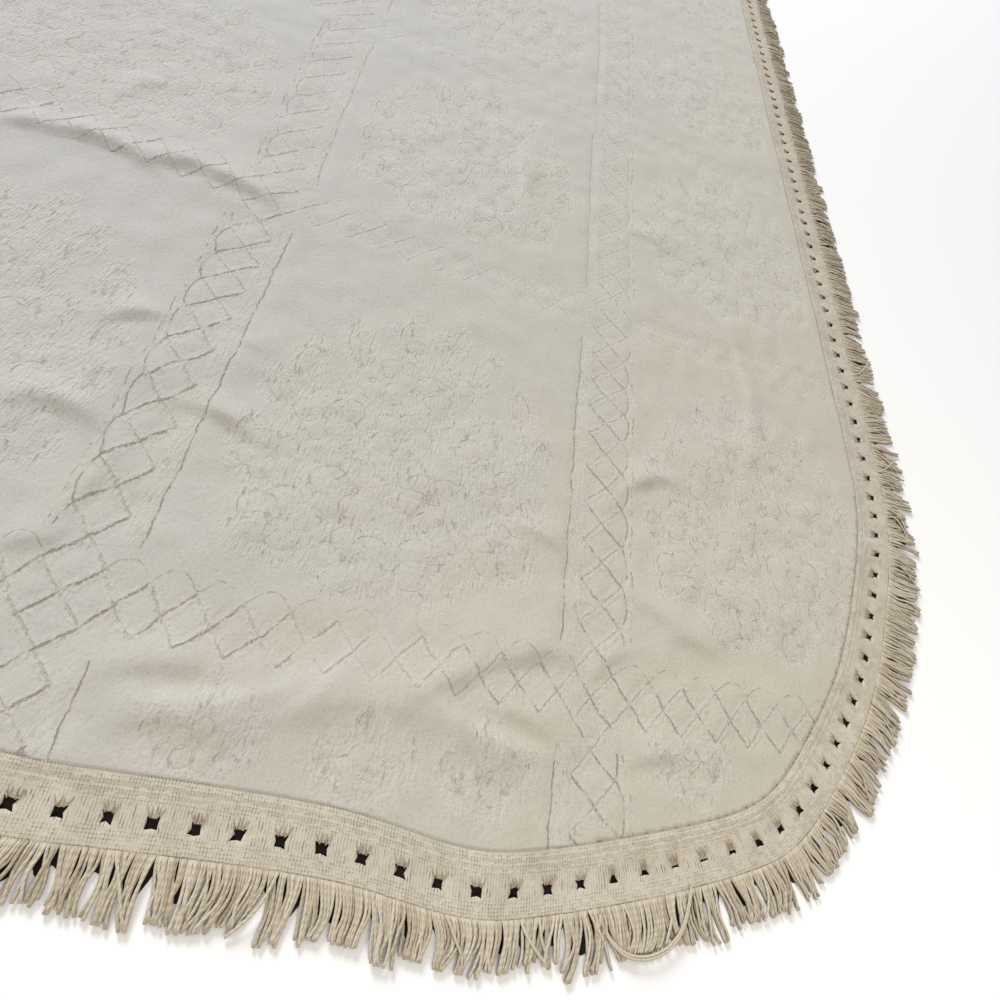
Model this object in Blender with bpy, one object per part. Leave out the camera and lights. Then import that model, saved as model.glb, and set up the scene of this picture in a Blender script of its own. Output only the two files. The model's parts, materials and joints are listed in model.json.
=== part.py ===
"""Chenille bedspread, laid out on a flat surface.

Three sewn pieces: a patterned cotton panel with two rounded foot corners, a woven
heading with a row of eyelets round the foot and both long sides, and a cut yarn
fringe along the heading's outer edge. The head edge is a plain hem.

Metres, +Z up. The head edge is at +Y and the foot at -Y. The surface that the cloth
lies on is z = 0, and the origin is the middle of the cloth's box on that surface.

The edge is told off in stations, one for each eyelet: station 0 is the head end of
the right side, and they run down that side, round the foot and up the left side.
"""

import math
from collections import namedtuple

import bmesh
import bpy
import numpy as np

# Driving sizes
PITCH = 0.040              # eyelet to eyelet
SIDE_PITCHES = 48          # straight part of each long side
CORNER_PITCHES = 24        # each rounded foot corner
FOOT_PITCHES = 12          # straight part of the foot
PANEL_WIDTH = 1.552        # seam to seam
CORNER_DEPTH = 0.620       # corner's height along the side
CLOTH = 0.003              # thickness of each piece
GAP = 0.0003               # between sewn neighbours

HEADING_WIDTH = 0.064
EYELET = 0.0085            # side of the square hole
EYELET_LINE = 0.036        # from the seam to the middle of the holes

FRINGE_BASE = 0.010        # unparted yarn next to the heading
FRINGE_LENGTH = 0.0597     # heading to the longest tips
NOTCH = 0.20               # parting between two teeth, in stations

# Worked out from the driving sizes
HALF_WIDTH = PANEL_WIDTH / 2
HALF_FOOT = FOOT_PITCHES * PITCH / 2
CORNER_WIDTH = HALF_WIDTH - HALF_FOOT
SIDE_LENGTH = SIDE_PITCHES * PITCH
SIDE_END = SIDE_PITCHES
CORNER_END = SIDE_PITCHES + CORNER_PITCHES
LAST_STATION = 2 * CORNER_END + FOOT_PITCHES
HEAD_Y = 1.33745           # head edge, which centres the cloth's box on the origin
CORNER_Y = HEAD_Y - SIDE_LENGTH
FOOT_Y = CORNER_Y - CORNER_DEPTH

# The panel's grid: a row for every second station, and columns that meet them at the foot
PANEL_ROWS = CORNER_END // 2
PANEL_COLUMNS = 2 * FOOT_PITCHES

# The edge isn't laid quite true. Each sway moves the cloth square to its heading, most
# at its middle: middle, heading from +X, half-length along the edge, move
Sway = namedtuple("Sway", "x y heading half_length move")
SWAYS = (
    Sway(+0.155, -1.203, 0, 0.110, -0.024),
    Sway(+0.530, -1.166, 34, 0.100, -0.017),
    Sway(+0.755, -0.835, 68, 0.180, +0.0127),
    Sway(-0.300, -1.203, 0, 0.300, +0.012),
)
SWAY_FADE = 0.250          # how far a sway reaches into the cloth

# Soft ridges of slack cloth: middle, heading from +X, half-length, half-width, height
Fold = namedtuple("Fold", "x y heading half_length half_width height")
FOLDS = (
    Fold(+0.04, -1.090, 4, 0.200, 0.046, 0.017),
    Fold(+0.13, -1.000, 24, 0.130, 0.048, 0.012),
    Fold(+0.46, -1.040, 18, 0.120, 0.052, 0.012),
    Fold(+0.45, -0.855, -20, 0.090, 0.060, 0.010),
    Fold(+0.46, -0.640, 28, 0.110, 0.062, 0.011),
    Fold(+0.54, -0.350, 88, 0.200, 0.048, 0.008),
    Fold(+0.13, -0.760, 12, 0.110, 0.060, 0.008),
    Fold(-0.30, -0.700, 20, 0.120, 0.062, 0.012),
    Fold(-0.40, -0.330, -6, 0.190, 0.062, 0.019),
    Fold(-0.17, -0.930, 62, 0.120, 0.058, 0.009),
    Fold(+0.15, -0.040, 82, 0.130, 0.052, 0.012),
    Fold(+0.43, -0.100, -30, 0.090, 0.060, 0.010),
    Fold(+0.36, +0.400, -38, 0.150, 0.064, 0.013),
    Fold(+0.20, +0.210, 6, 0.110, 0.056, 0.009),
    Fold(-0.14, +0.560, 70, 0.170, 0.070, 0.011),
    Fold(-0.52, +0.160, -62, 0.170, 0.072, 0.012),
    Fold(-0.50, -0.860, 40, 0.140, 0.064, 0.011),
    Fold(+0.52, +0.930, 30, 0.170, 0.070, 0.012),
    Fold(-0.46, +0.980, -24, 0.180, 0.070, 0.012),
)
FLAT_BELOW = 0.0015        # slack less than this lies flat

# The trim is eased round the corners, so its stations slip along the seam there: station,
# and how far it has slipped
SLIPS = ((0, 0.0), (32, 0.05), (40, 0.20), (48, 0.58), (54, 0.60), (60, 0.42), (64, 0.23),
         (70, -0.03), (73.5, -0.28), (80, -0.29), (84, -0.44), (90, -0.40), (120, 0.0),
         (156, 0.0))

# Fringe teeth, repeated along the edge: share of the full length, lean in stations
Tooth = namedtuple("Tooth", "share lean")
TEETH = (
    Tooth(0.88, +0.10),
    Tooth(0.76, +0.22),
    Tooth(1.00, -0.06),
    Tooth(0.82, -0.24),
    Tooth(0.93, +0.04),
    Tooth(0.72, +0.16),
    Tooth(0.97, -0.14),
    Tooth(0.80, +0.02),
    Tooth(0.90, -0.20),
)

CREAM = (0.80, 0.77, 0.70)
HEADING_CREAM = (0.76, 0.71, 0.62)
YARN_CREAM = (0.71, 0.65, 0.54)
ROUGHNESS = 0.9


def clear_scene():
    """Remove every object that is in the scene."""
    for old in list(bpy.data.objects):
        bpy.data.objects.remove(old, do_unlink=True)


def cotton(name, colour):
    """Matt cotton of one colour."""
    material = bpy.data.materials.new(name)
    material.use_nodes = True
    shader = material.node_tree.nodes["Principled BSDF"]
    shader.inputs["Base Color"].default_value = (*colour, 1.0)
    shader.inputs["Roughness"].default_value = ROUGHNESS
    shader.inputs["Metallic"].default_value = 0.0
    return material


def lift(x, y):
    """Height of the cloth's underside: the ridges, and zero where it lies flat."""
    slack = 0.0
    for fold in FOLDS:
        turn = math.radians(fold.heading)
        along = (x - fold.x) * math.cos(turn) + (y - fold.y) * math.sin(turn)
        across = (y - fold.y) * math.cos(turn) - (x - fold.x) * math.sin(turn)
        spread = (along / fold.half_length) ** 2 + (across / fold.half_width) ** 2
        slack += fold.height * math.exp(-spread)
    return max(0.0, slack - FLAT_BELOW)


def swayed(x, y):
    """Move a point of the cut cloth with the edge's uneven lie."""
    laid_x, laid_y = x, y
    for sway in SWAYS:
        turn = math.radians(sway.heading)
        along = (x - sway.x) * math.cos(turn) + (y - sway.y) * math.sin(turn)
        across = (y - sway.y) * math.cos(turn) - (x - sway.x) * math.sin(turn)
        spread = (along / sway.half_length) ** 2 + (across / SWAY_FADE) ** 2
        move = sway.move * math.exp(-spread)
        laid_x -= move * math.sin(turn)
        laid_y += move * math.cos(turn)
    return laid_x, laid_y


def corner_angles():
    """Angle on the corner's ellipse at each of its stations, equally far apart."""
    fine = np.linspace(0.0, math.pi / 2, 721)
    x = CORNER_WIDTH * np.cos(fine)
    y = CORNER_DEPTH * np.sin(fine)
    steps = np.hypot(np.diff(x), np.diff(y))
    length = np.concatenate(([0.0], np.cumsum(steps)))
    wanted = np.linspace(0.0, length[-1], CORNER_PITCHES + 1)
    return np.interp(wanted, length, fine)


CORNER_ANGLES = corner_angles()


def slipped(station):
    """How far along the seam, in even pitches, a station lies."""
    at, slip = zip(*SLIPS)
    return station + float(np.interp(station, at, slip))


def seam_point(station):
    """Point this many even pitches along the seam, and the way out of the cloth there."""
    if station > LAST_STATION / 2:
        x, y, out_x, out_y = seam_point(LAST_STATION - station)
        return -x, y, -out_x, out_y
    if station <= SIDE_END:
        return HALF_WIDTH, HEAD_Y - station * PITCH, 1.0, 0.0
    if station >= CORNER_END:
        return HALF_FOOT - (station - CORNER_END) * PITCH, FOOT_Y, 0.0, -1.0
    angle = float(np.interp(station - SIDE_END, range(CORNER_PITCHES + 1), CORNER_ANGLES))
    x = HALF_FOOT + CORNER_WIDTH * math.cos(angle)
    y = CORNER_Y - CORNER_DEPTH * math.sin(angle)
    out_x = CORNER_DEPTH * math.cos(angle)
    out_y = -CORNER_WIDTH * math.sin(angle)
    size = math.hypot(out_x, out_y)
    return x, y, out_x / size, out_y / size


def even_rail(station, reach):
    """Laid point `reach` outside the seam, at an even station."""
    x, y, out_x, out_y = seam_point(slipped(station))
    return swayed(x + reach * out_x, y + reach * out_y)


def rail(station, reach):
    """Laid point on the edge line that runs straight between even stations."""
    before = min(2 * int(station // 2), LAST_STATION - 2)
    share = (station - before) / 2
    x0, y0 = even_rail(before, reach)
    x1, y1 = even_rail(before + 2, reach)
    return x0 + (x1 - x0) * share, y0 + (y1 - y0) * share


def grid(columns, rows):
    """Flat grid whose vertices stand on whole numbers, one unit to a cell."""
    mesh = bmesh.new()
    bmesh.ops.create_grid(mesh, x_segments=columns, y_segments=rows, size=0.5)
    for vertex in mesh.verts:
        vertex.co.x = round((vertex.co.x + 0.5) * columns)
        vertex.co.y = round((vertex.co.y + 0.5) * rows)
    return mesh


def lay(mesh, place):
    """Move each vertex from its grid place to its laid place and height."""
    for vertex in mesh.verts:
        x, y = place(vertex.co.x, vertex.co.y)
        vertex.co = (x, y, lift(x, y))


def thicken(mesh):
    """Give the open sheet its thickness, upwards, with its faces pointing out."""
    region = bmesh.ops.extrude_face_region(mesh, geom=list(mesh.faces))
    raised = [item for item in region["geom"] if isinstance(item, bmesh.types.BMVert)]
    bmesh.ops.translate(mesh, vec=(0.0, 0.0, CLOTH), verts=raised)
    bmesh.ops.recalc_face_normals(mesh, faces=list(mesh.faces))


def finish(mesh, name, material, collection):
    """Make the sheet an object of the bedspread."""
    thicken(mesh)
    data = bpy.data.meshes.new(name)
    mesh.to_mesh(data)
    mesh.free()
    data.materials.append(material)
    piece = bpy.data.objects.new(name, data)
    collection.objects.link(piece)
    return piece


def panel_place(column, row):
    """Laid place of a vertex of the panel's grid."""
    if row == PANEL_ROWS:
        return rail(CORNER_END + FOOT_PITCHES * (1 - column / PANEL_COLUMNS), 0.0)
    if column == PANEL_COLUMNS:
        return rail(2 * row, 0.0)
    if column == 0:
        return rail(LAST_STATION - 2 * row, 0.0)
    right_x, right_y, _, _ = seam_point(slipped(2 * row))
    left_x, left_y, _, _ = seam_point(slipped(LAST_STATION - 2 * row))
    share = column / PANEL_COLUMNS
    return swayed(left_x + (right_x - left_x) * share, left_y + (right_y - left_y) * share)


def make_panel(collection):
    """The patterned panel, one sheet with its low folds."""
    mesh = grid(PANEL_COLUMNS, PANEL_ROWS)
    lay(mesh, panel_place)
    return finish(mesh, "spread_panel", cotton("panel_cotton", CREAM), collection)


def make_heading(collection):
    """The woven heading: a strip with one square eyelet for each station."""
    mesh = grid(LAST_STATION, 1)
    inset_share = 0.3
    bmesh.ops.inset_individual(
        mesh, faces=list(mesh.faces), thickness=inset_share, use_even_offset=True
    )
    holes = [face for face in mesh.faces if is_inner(face, inset_share)]
    bmesh.ops.delete(mesh, geom=holes, context="FACES_ONLY")

    half_hole = EYELET / PITCH / 2
    share_stops = (0.0, inset_share, 1 - inset_share, 1.0)
    along_stops = (0.0, 0.5 - half_hole, 0.5 + half_hole, 1.0)
    across_stops = (GAP, EYELET_LINE - EYELET / 2, EYELET_LINE + EYELET / 2, HEADING_WIDTH)

    def place(column, row):
        whole = math.floor(column + 0.01)
        station = whole + np.interp(column - whole, share_stops, along_stops)
        return rail(station, np.interp(row, share_stops, across_stops))

    lay(mesh, place)
    return finish(mesh, "fringe_heading", cotton("heading_cotton", HEADING_CREAM), collection)


def is_inner(face, inset_share):
    """True for the face in the middle of a cell, which becomes its eyelet."""
    return all(inset_share / 2 < vertex.co.y < 1 - inset_share / 2 for vertex in face.verts)


def make_fringe(collection):
    """The fringe: one comb whose teeth are clumps of yarn, uneven in length and lean."""
    mesh = grid(LAST_STATION, 2)
    notches = [face for face in mesh.faces if is_notch(face)]
    bmesh.ops.delete(mesh, geom=notches, context="FACES")
    inner = HEADING_WIDTH + GAP

    def place(column, row):
        period = int(column // 2)
        station = 2 * period if column % 2 == 0 else 2 * period + NOTCH
        if row < 2:
            return rail(station, inner + row * FRINGE_BASE)
        tooth = TEETH[((int(column) - 1) // 2) % len(TEETH)]
        leant = min(max(station + tooth.lean, 0), LAST_STATION)
        return rail(leant, inner + tooth.share * FRINGE_LENGTH)

    lay(mesh, place)
    return finish(mesh, "fringe_skirt", cotton("fringe_yarn", YARN_CREAM), collection)


def is_notch(face):
    """True for a cell of the outer row that is a parting between two teeth."""
    middle = face.calc_center_median()
    return middle.y > 1 and int(middle.x) % 2 == 0


def main():
    clear_scene()
    collection = bpy.data.collections.new("chenille_bedspread")
    bpy.context.scene.collection.children.link(collection)
    make_panel(collection)
    make_heading(collection)
    make_fringe(collection)


main()
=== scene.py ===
"""Looks of the chenille bedspread, laid out flat with its foot towards the viewer.

Metres, +Z up, the head edge at +Y. The cloth is a sheet with low folds and creases, a
woven figure sunk into its pile, and a sewn-on heading with eyelets and a yarn fringe.

The edge is told off in stations, one for each eyelet: station 0 is the head end of the
right side, and they run down that side, round the foot and up the left side.
"""

import json
import math
from collections import namedtuple
from types import SimpleNamespace

import bmesh
import bpy
import numpy as np
from mathutils import Euler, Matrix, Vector

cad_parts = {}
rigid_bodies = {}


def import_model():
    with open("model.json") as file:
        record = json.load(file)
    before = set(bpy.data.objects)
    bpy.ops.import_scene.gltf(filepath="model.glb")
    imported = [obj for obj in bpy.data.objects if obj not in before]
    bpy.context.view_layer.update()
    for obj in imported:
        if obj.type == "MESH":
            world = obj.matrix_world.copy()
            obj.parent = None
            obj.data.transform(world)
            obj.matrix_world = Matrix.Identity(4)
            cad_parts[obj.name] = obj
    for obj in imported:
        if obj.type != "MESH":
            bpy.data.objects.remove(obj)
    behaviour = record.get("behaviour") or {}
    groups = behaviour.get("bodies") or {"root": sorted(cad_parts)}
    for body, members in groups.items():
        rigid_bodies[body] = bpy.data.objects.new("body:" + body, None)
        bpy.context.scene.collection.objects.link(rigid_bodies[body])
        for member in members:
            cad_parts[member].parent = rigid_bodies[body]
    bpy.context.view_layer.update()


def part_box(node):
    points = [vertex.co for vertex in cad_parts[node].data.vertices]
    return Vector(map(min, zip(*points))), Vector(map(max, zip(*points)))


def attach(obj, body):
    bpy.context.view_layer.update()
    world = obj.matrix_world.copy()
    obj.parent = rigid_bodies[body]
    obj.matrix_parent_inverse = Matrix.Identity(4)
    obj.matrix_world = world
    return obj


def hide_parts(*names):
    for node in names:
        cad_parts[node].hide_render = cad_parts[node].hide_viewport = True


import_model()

# Cut of the cloth, from the solids and their driving sizes
_, panel_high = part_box("spread_panel")
PITCH = 0.040              # eyelet to eyelet
SIDE_END = 48              # stations along each straight side
CORNER_PITCHES = 24
FOOT_PITCHES = 12
CORNER_END = SIDE_END + CORNER_PITCHES
LAST_STATION = 2 * CORNER_END + FOOT_PITCHES
HALF_WIDTH = panel_high.x
HEAD_Y = panel_high.y
HALF_FOOT = FOOT_PITCHES * PITCH / 2
CORNER_WIDTH = HALF_WIDTH - HALF_FOOT
CORNER_DEPTH = 0.620
CORNER_Y = HEAD_Y - SIDE_END * PITCH
FOOT_Y = CORNER_Y - CORNER_DEPTH
HEADING_WIDTH = 0.064
EYELET_LINE = 0.0363       # from the seam to the middle of the holes
FRINGE_LENGTH = 0.0597

CLOTH = 0.0022             # short-pile ground, underside to top
PILE = 0.0014              # what the plush stands above the ground
HEADING_THICK = 0.0020

# The edge isn't laid quite true: middle, heading from +X, half-length along the edge, move
Sway = namedtuple("Sway", "x y heading half_length move")
SWAYS = (
    Sway(+0.155, -1.203, 0, 0.110, -0.024),
    Sway(+0.530, -1.166, 34, 0.100, -0.017),
    Sway(+0.755, -0.835, 68, 0.180, +0.0127),
    Sway(-0.300, -1.203, 0, 0.300, +0.012),
)
SWAY_FADE = 0.250

# The trim is eased round the corners, so its stations slip along the seam there
SLIP_STATION = (0, 32, 40, 48, 54, 60, 64, 70, 73.5, 80, 84, 90, 120, 156)
SLIP = (0.0, 0.05, 0.20, 0.58, 0.60, 0.42, 0.23, -0.03, -0.28, -0.29, -0.44, -0.40, 0.0, 0.0)

# Soft ridges of slack cloth: middle, heading from +X, half-length, half-width, height
Fold = namedtuple("Fold", "x y heading half_length half_width height")
FOLDS = (
    Fold(+0.04, -1.090, 4, 0.200, 0.046, 0.017),
    Fold(+0.13, -1.000, 24, 0.130, 0.048, 0.012),
    Fold(+0.46, -1.040, 18, 0.120, 0.052, 0.012),
    Fold(+0.45, -0.855, -20, 0.090, 0.060, 0.010),
    Fold(+0.46, -0.640, 28, 0.110, 0.062, 0.011),
    Fold(+0.54, -0.350, 88, 0.200, 0.048, 0.008),
    Fold(+0.13, -0.760, 12, 0.110, 0.060, 0.008),
    Fold(-0.30, -0.700, 20, 0.120, 0.062, 0.012),
    Fold(-0.40, -0.330, -6, 0.190, 0.062, 0.019),
    Fold(-0.17, -0.930, 62, 0.120, 0.058, 0.009),
    Fold(+0.15, -0.040, 82, 0.130, 0.052, 0.012),
    Fold(+0.43, -0.100, -30, 0.090, 0.060, 0.010),
    Fold(+0.36, +0.400, -38, 0.150, 0.064, 0.013),
    Fold(+0.20, +0.210, 6, 0.110, 0.056, 0.009),
    Fold(-0.14, +0.560, 70, 0.170, 0.070, 0.011),
    Fold(-0.52, +0.160, -62, 0.170, 0.072, 0.012),
    Fold(-0.50, -0.860, 40, 0.140, 0.064, 0.011),
    Fold(+0.52, +0.930, 30, 0.170, 0.070, 0.012),
    Fold(-0.46, +0.980, -24, 0.180, 0.070, 0.012),
)
FLAT_BELOW = 0.0015        # slack less than this lies flat
SETTLED = 0.25             # share of a fold's height that is left once the cloth has settled
RIPPLE = 0.0004            # faint waviness of the whole cloth

# Creases: middle, heading, half-length, height, and the half-width of the steep side, which
# is the foot side at heading 0. The side towards the head rises gently.
Crease = namedtuple("Crease", "x y heading half_length height drop", defaults=(0.009,))
CREASES = (
    Crease(-0.604, -0.369, 15, 0.035, 0.0070),
    Crease(-0.536, -0.358, 3, 0.033, 0.0078),
    Crease(-0.471, -0.364, -17, 0.040, 0.0078),
    Crease(-0.408, -0.352, 19, 0.043, 0.0068),
    Crease(-0.318, -0.357, -11, 0.062, 0.0064),
    Crease(-0.374, -0.656, 25, 0.034, 0.0066),
    Crease(-0.221, -0.778, -19, 0.046, 0.0072),
    Crease(-0.218, -0.656, -17, 0.024, 0.0036),
    Crease(+0.371, -0.708, 23, 0.038, 0.0060),
    Crease(+0.206, -0.845, -22, 0.037, 0.0046),
    Crease(+0.380, -0.924, -38, 0.034, 0.0058, 0.012),
    Crease(+0.428, -0.950, -14, 0.034, 0.0050, 0.012),
    Crease(+0.132, -0.085, -80, 0.075, 0.0050),
    Crease(+0.392, -0.140, -15, 0.038, 0.0052),
    Crease(+0.304, -0.993, 36, 0.041, 0.0036),
    Crease(+0.363, -1.104, 11, 0.048, 0.0042),
    Crease(+0.576, -0.460, -87, 0.165, 0.0036),
    Crease(+0.548, -0.899, -72, 0.051, 0.0028),
    Crease(-0.508, -0.206, 59, 0.035, 0.0040),
    Crease(-0.199, -0.101, -56, 0.065, 0.0032),
    Crease(-0.384, -0.813, -14, 0.047, 0.0034),
    Crease(-0.208, -1.084, 11, 0.062, 0.0066, 0.017),
    Crease(-0.136, -1.118, 194, 0.086, 0.0060, 0.013),
    Crease(-0.176, -1.134, 2, 0.056, 0.0038, 0.016),
    Crease(-0.038, -1.088, 236, 0.048, 0.0038, 0.009),
    Crease(+0.012, -1.093, 3, 0.038, 0.0022, 0.008),
    Crease(+0.077, -1.066, 35, 0.038, 0.0044, 0.010),
    Crease(+0.143, -1.027, 27, 0.048, 0.0050, 0.011),
    Crease(+0.208, -1.002, 11, 0.034, 0.0044, 0.010),
    Crease(+0.136, -1.112, 162, 0.080, 0.0070, 0.011),
    Crease(+0.198, -1.086, -23, 0.050, 0.0046, 0.012),
    Crease(-0.255, -1.186, -9, 0.034, 0.0040),
    Crease(-0.368, -0.983, 25, 0.028, 0.0044),
    Crease(-0.342, -0.935, 79, 0.042, 0.0036),
    Crease(-0.324, -0.868, 71, 0.034, 0.0034),
    Crease(-0.432, -0.812, 17, 0.044, 0.0037, 0.016),
    Crease(-0.374, -0.817, -28, 0.038, 0.0032, 0.014),
)
CREASE_RISE = 0.028        # half-width of the gentle side
CREASE_BEND = 0.18         # how far its ends bow, as a share of the half-length

# Small soft puckers of washed cloth
PUCKER = 0.00065
PUCKER_WAVES = 18
PUCKER_SHORTEST = 0.030
PUCKER_LONGEST = 0.085

# The woven figure: lattice bands with sunken lines between plush panels
BAND_X = 0.289             # centre columns of the two lengthwise bands
HALF_DIAMOND = 0.029
GROOVE_X = 0.2375          # straight sunken line, towards the middle
ARC_X = 0.318              # line of shallow arcs, towards the side
ARC_BULGE = 0.008
ARC_STRIP = 0.014          # short pile outside the arcs
ARCH_UNITS = 0.30          # height of the arches over a crosswise band
ACROSS_UNITS = 11          # diamonds between the two bands
CROSS_UNITS = (0, 11, 21, 31)  # rows of the crosswise bands
LINE_SPREAD = 0.039        # distance between lattice lines that are one unit apart

# Rows of diamonds along the cloth, which lies a little stretched and askew
ROW_Y = (-1.2305, -1.0505, -0.9564, -0.6528, -0.5176, -0.4006, -0.3101, 0.198, 0.802, 1.340)
ROW_UNITS = (-3.0, 0.0, 1.5, 6.5, 9.0, 11.0, 12.5, 21.0, 31.0, 39.9)
ROW_METRES = 0.060         # nominal distance between two rows

# Sideways drift of the cloth along its length: zero at the sides, most near the middle
DRIFT_Y = (-1.20, -1.05, -0.95, -0.66, -0.30, 0.02, 0.22, 0.54, 0.90, 1.34)
DRIFT_X = (-0.018, -0.015, -0.010, 0.007, 0.029, 0.036, 0.045, 0.060, 0.060, 0.000)

# Shares of a motif's size: a leaf's half-width, a petal's place and half-sizes, the heart
LEAF_WIDTH = 0.40
PETALS = 5
PETAL_OUT = 0.56
PETAL_LENGTH = 0.46
PETAL_WIDTH = 0.44
HEART = 0.24

# A spray of blossoms and leaves: kind, middle, size, turn
Motif = namedtuple("Motif", "kind x y size turn")
SPRAY = (
    Motif("leaf", -0.168, 0.050, 0.030, 118),
    Motif("leaf", +0.176, 0.045, 0.032, 64),
    Motif("leaf", -0.070, -0.040, 0.030, 86),
    Motif("leaf", +0.012, -0.030, 0.034, 98),
    Motif("leaf", +0.100, -0.020, 0.030, 70),
    Motif("leaf", -0.150, 0.110, 0.032, 82),
    Motif("leaf", +0.150, 0.120, 0.034, 100),
    Motif("leaf", -0.095, 0.160, 0.036, 108),
    Motif("leaf", +0.088, 0.170, 0.036, 76),
    Motif("leaf", -0.030, 0.200, 0.036, 94),
    Motif("leaf", +0.036, 0.214, 0.030, 80),
    Motif("leaf", -0.185, -0.030, 0.026, 100),
    Motif("leaf", +0.186, -0.040, 0.026, 84),
    Motif("blossom", -0.118, -0.135, 0.046, 12),
    Motif("blossom", -0.028, -0.168, 0.044, 40),
    Motif("blossom", +0.064, -0.158, 0.046, 5),
    Motif("blossom", +0.146, -0.118, 0.040, 28),
    Motif("blossom", -0.150, -0.052, 0.036, 50),
    Motif("blossom", -0.052, -0.078, 0.048, 20),
    Motif("blossom", +0.048, -0.068, 0.042, 55),
    Motif("blossom", +0.138, -0.030, 0.036, 10),
    Motif("blossom", -0.102, 0.028, 0.044, 34),
    Motif("blossom", -0.008, 0.022, 0.040, 2),
    Motif("blossom", +0.086, 0.046, 0.040, 44),
    Motif("blossom", -0.046, 0.108, 0.040, 16),
    Motif("blossom", +0.038, 0.116, 0.042, 30),
    Motif("blossom", -0.006, 0.182, 0.026, 48),
)
SPRIG = (
    Motif("leaf", -0.034, 0.006, 0.024, 116),
    Motif("leaf", +0.034, 0.010, 0.024, 64),
    Motif("leaf", 0.000, 0.044, 0.022, 90),
    Motif("blossom", 0.000, 0.000, 0.026, 15),
)

# Where they lie: motifs, middle, half the patch that they fill, mirrored or not
Placing = namedtuple("Placing", "spray x y half_width half_height flip")
PLACINGS = (
    Placing(SPRAY, 0.000, -0.765, 0.190, 0.215, 1),
    Placing(SPRAY, 0.000, -0.085, 0.190, 0.215, -1),
    Placing(SPRAY, 0.000, +0.515, 0.190, 0.215, 1),
    Placing(SPRAY, 0.000, +1.090, 0.190, 0.190, -1),
    Placing(SPRAY, +0.555, -0.740, 0.180, 0.215, -1),
    Placing(SPRAY, +0.555, -0.085, 0.180, 0.215, 1),
    Placing(SPRAY, +0.555, +0.515, 0.180, 0.215, -1),
    Placing(SPRAY, +0.555, +1.090, 0.180, 0.190, 1),
    Placing(SPRAY, -0.555, -0.740, 0.180, 0.215, 1),
    Placing(SPRAY, -0.555, -0.085, 0.180, 0.215, -1),
    Placing(SPRAY, -0.555, +0.515, 0.180, 0.215, 1),
    Placing(SPRAY, -0.555, +1.090, 0.180, 0.190, -1),
    Placing(SPRIG, -0.120, -1.160, 0.060, 0.034, 1),
    Placing(SPRIG, +0.030, -1.166, 0.060, 0.034, -1),
    Placing(SPRIG, +0.160, -1.160, 0.050, 0.034, 1),
    Placing(SPRIG, -0.400, -1.110, 0.050, 0.034, 1),
    Placing(SPRIG, +0.420, -1.120, 0.050, 0.030, 1),
)
FAR = 0.050                # signed distance where no shape is near

# Local pulls of the figure: middle and half-sizes of the pulled patch, and how far it moves
# towards +X, or for the twist towards the foot
Pull = namedtuple("Pull", "x y half_width half_height move")
FOOT_BULGE = Pull(0.0, -1.050, HALF_WIDTH, 0.420, 0.010)
BAND_TUCK = Pull(0.290, -1.070, 0.045, 0.075, -0.012)
LATTICE_TWIST = Pull(-0.140, -1.040, 0.130, 0.090, 0.009)
LEFT_ASIDE = -0.005        # the left half of the figure sits a little further out

# How much the sunken lines and their painted shade fade, from 0 to 1: far up the cloth, and where
# worn in the middle of a crosswise band
FAR_FADE = 0.42
MIDDLE_WEAR = 0.45

# Holes that are drawn together: eyelet number, share of width at the panel side, of height
PINCHED = {64: (0.75, 0.75), 65: (0.55, 0.85), 66: (0.70, 0.45), 67: (0.90, 0.22),
           68: (0.80, 0.25), 69: (0.45, 0.55), 70: (0.35, 0.80)}
STAINED_MIDDLE = 68        # eyelet in the middle of the brown-stained ones

# Partings of the fringe that are wide, in stations
WIDE_PARTINGS = (63.6, 65.3, 67.9, 71.0, 72.6, 74.1, 75.6, 77.2, 81.0, 83.3, 84.6)

YARNS_PER_PITCH = 12.5     # cross yarns of the heading
RIB_SPACING = 0.0034       # from rib to rib across the heading
FRINGE_YARNS_PER_PITCH = 15.6
YARN_RINGS = 12
YARN_HALF_WIDTH = 0.00172
YARN_HALF_HEIGHT = 0.00150


# ---- shape of the laid cloth ----

def turned(x, y, middle_x, middle_y, turn):
    """Distances along and across a line through a middle, at this turn from +X."""
    along = (x - middle_x) * math.cos(turn) + (y - middle_y) * math.sin(turn)
    across = (y - middle_y) * math.cos(turn) - (x - middle_x) * math.sin(turn)
    return along, across


def from_item(x, y, item):
    """Distances along and across an item that has a middle and a heading."""
    return turned(x, y, item.x, item.y, math.radians(item.heading))


def swayed(x, y):
    """Move points of the cut cloth with the edge's uneven lie."""
    laid_x, laid_y = x, y
    for sway in SWAYS:
        turn = math.radians(sway.heading)
        along, across = from_item(x, y, sway)
        move = sway.move * np.exp(-((along / sway.half_length) ** 2) - (across / SWAY_FADE) ** 2)
        laid_x = laid_x - move * math.sin(turn)
        laid_y = laid_y + move * math.cos(turn)
    return laid_x, laid_y


def lift(x, y):
    """Height of the cloth's underside: low folds, creases and a faint waviness."""
    slack = np.zeros_like(x)
    for fold in FOLDS:
        along, across = from_item(x, y, fold)
        spread = (along / fold.half_length) ** 2 + (across / fold.half_width) ** 2
        slack = slack + fold.height * np.exp(-spread)
    height = SETTLED * np.maximum(slack - FLAT_BELOW, 0.0)
    for crease in CREASES:
        along, across = from_item(x, y, crease)
        across = across + CREASE_BEND * along ** 2 / crease.half_length
        width = np.where(across > 0, CREASE_RISE, crease.drop)
        height = height + crease.height * np.exp(-((along / crease.half_length) ** 2)
                                                 - (across / width) ** 2)
    ripple = (np.sin(17 * x + 9 * y + 0.4) + np.sin(-11 * x + 23 * y + 1.9)
              + np.sin(41 * x + 13 * y + 4.0) + np.sin(-29 * x + 47 * y + 2.2))
    return height + RIPPLE * np.maximum(ripple + 1.2, 0.0)


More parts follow.
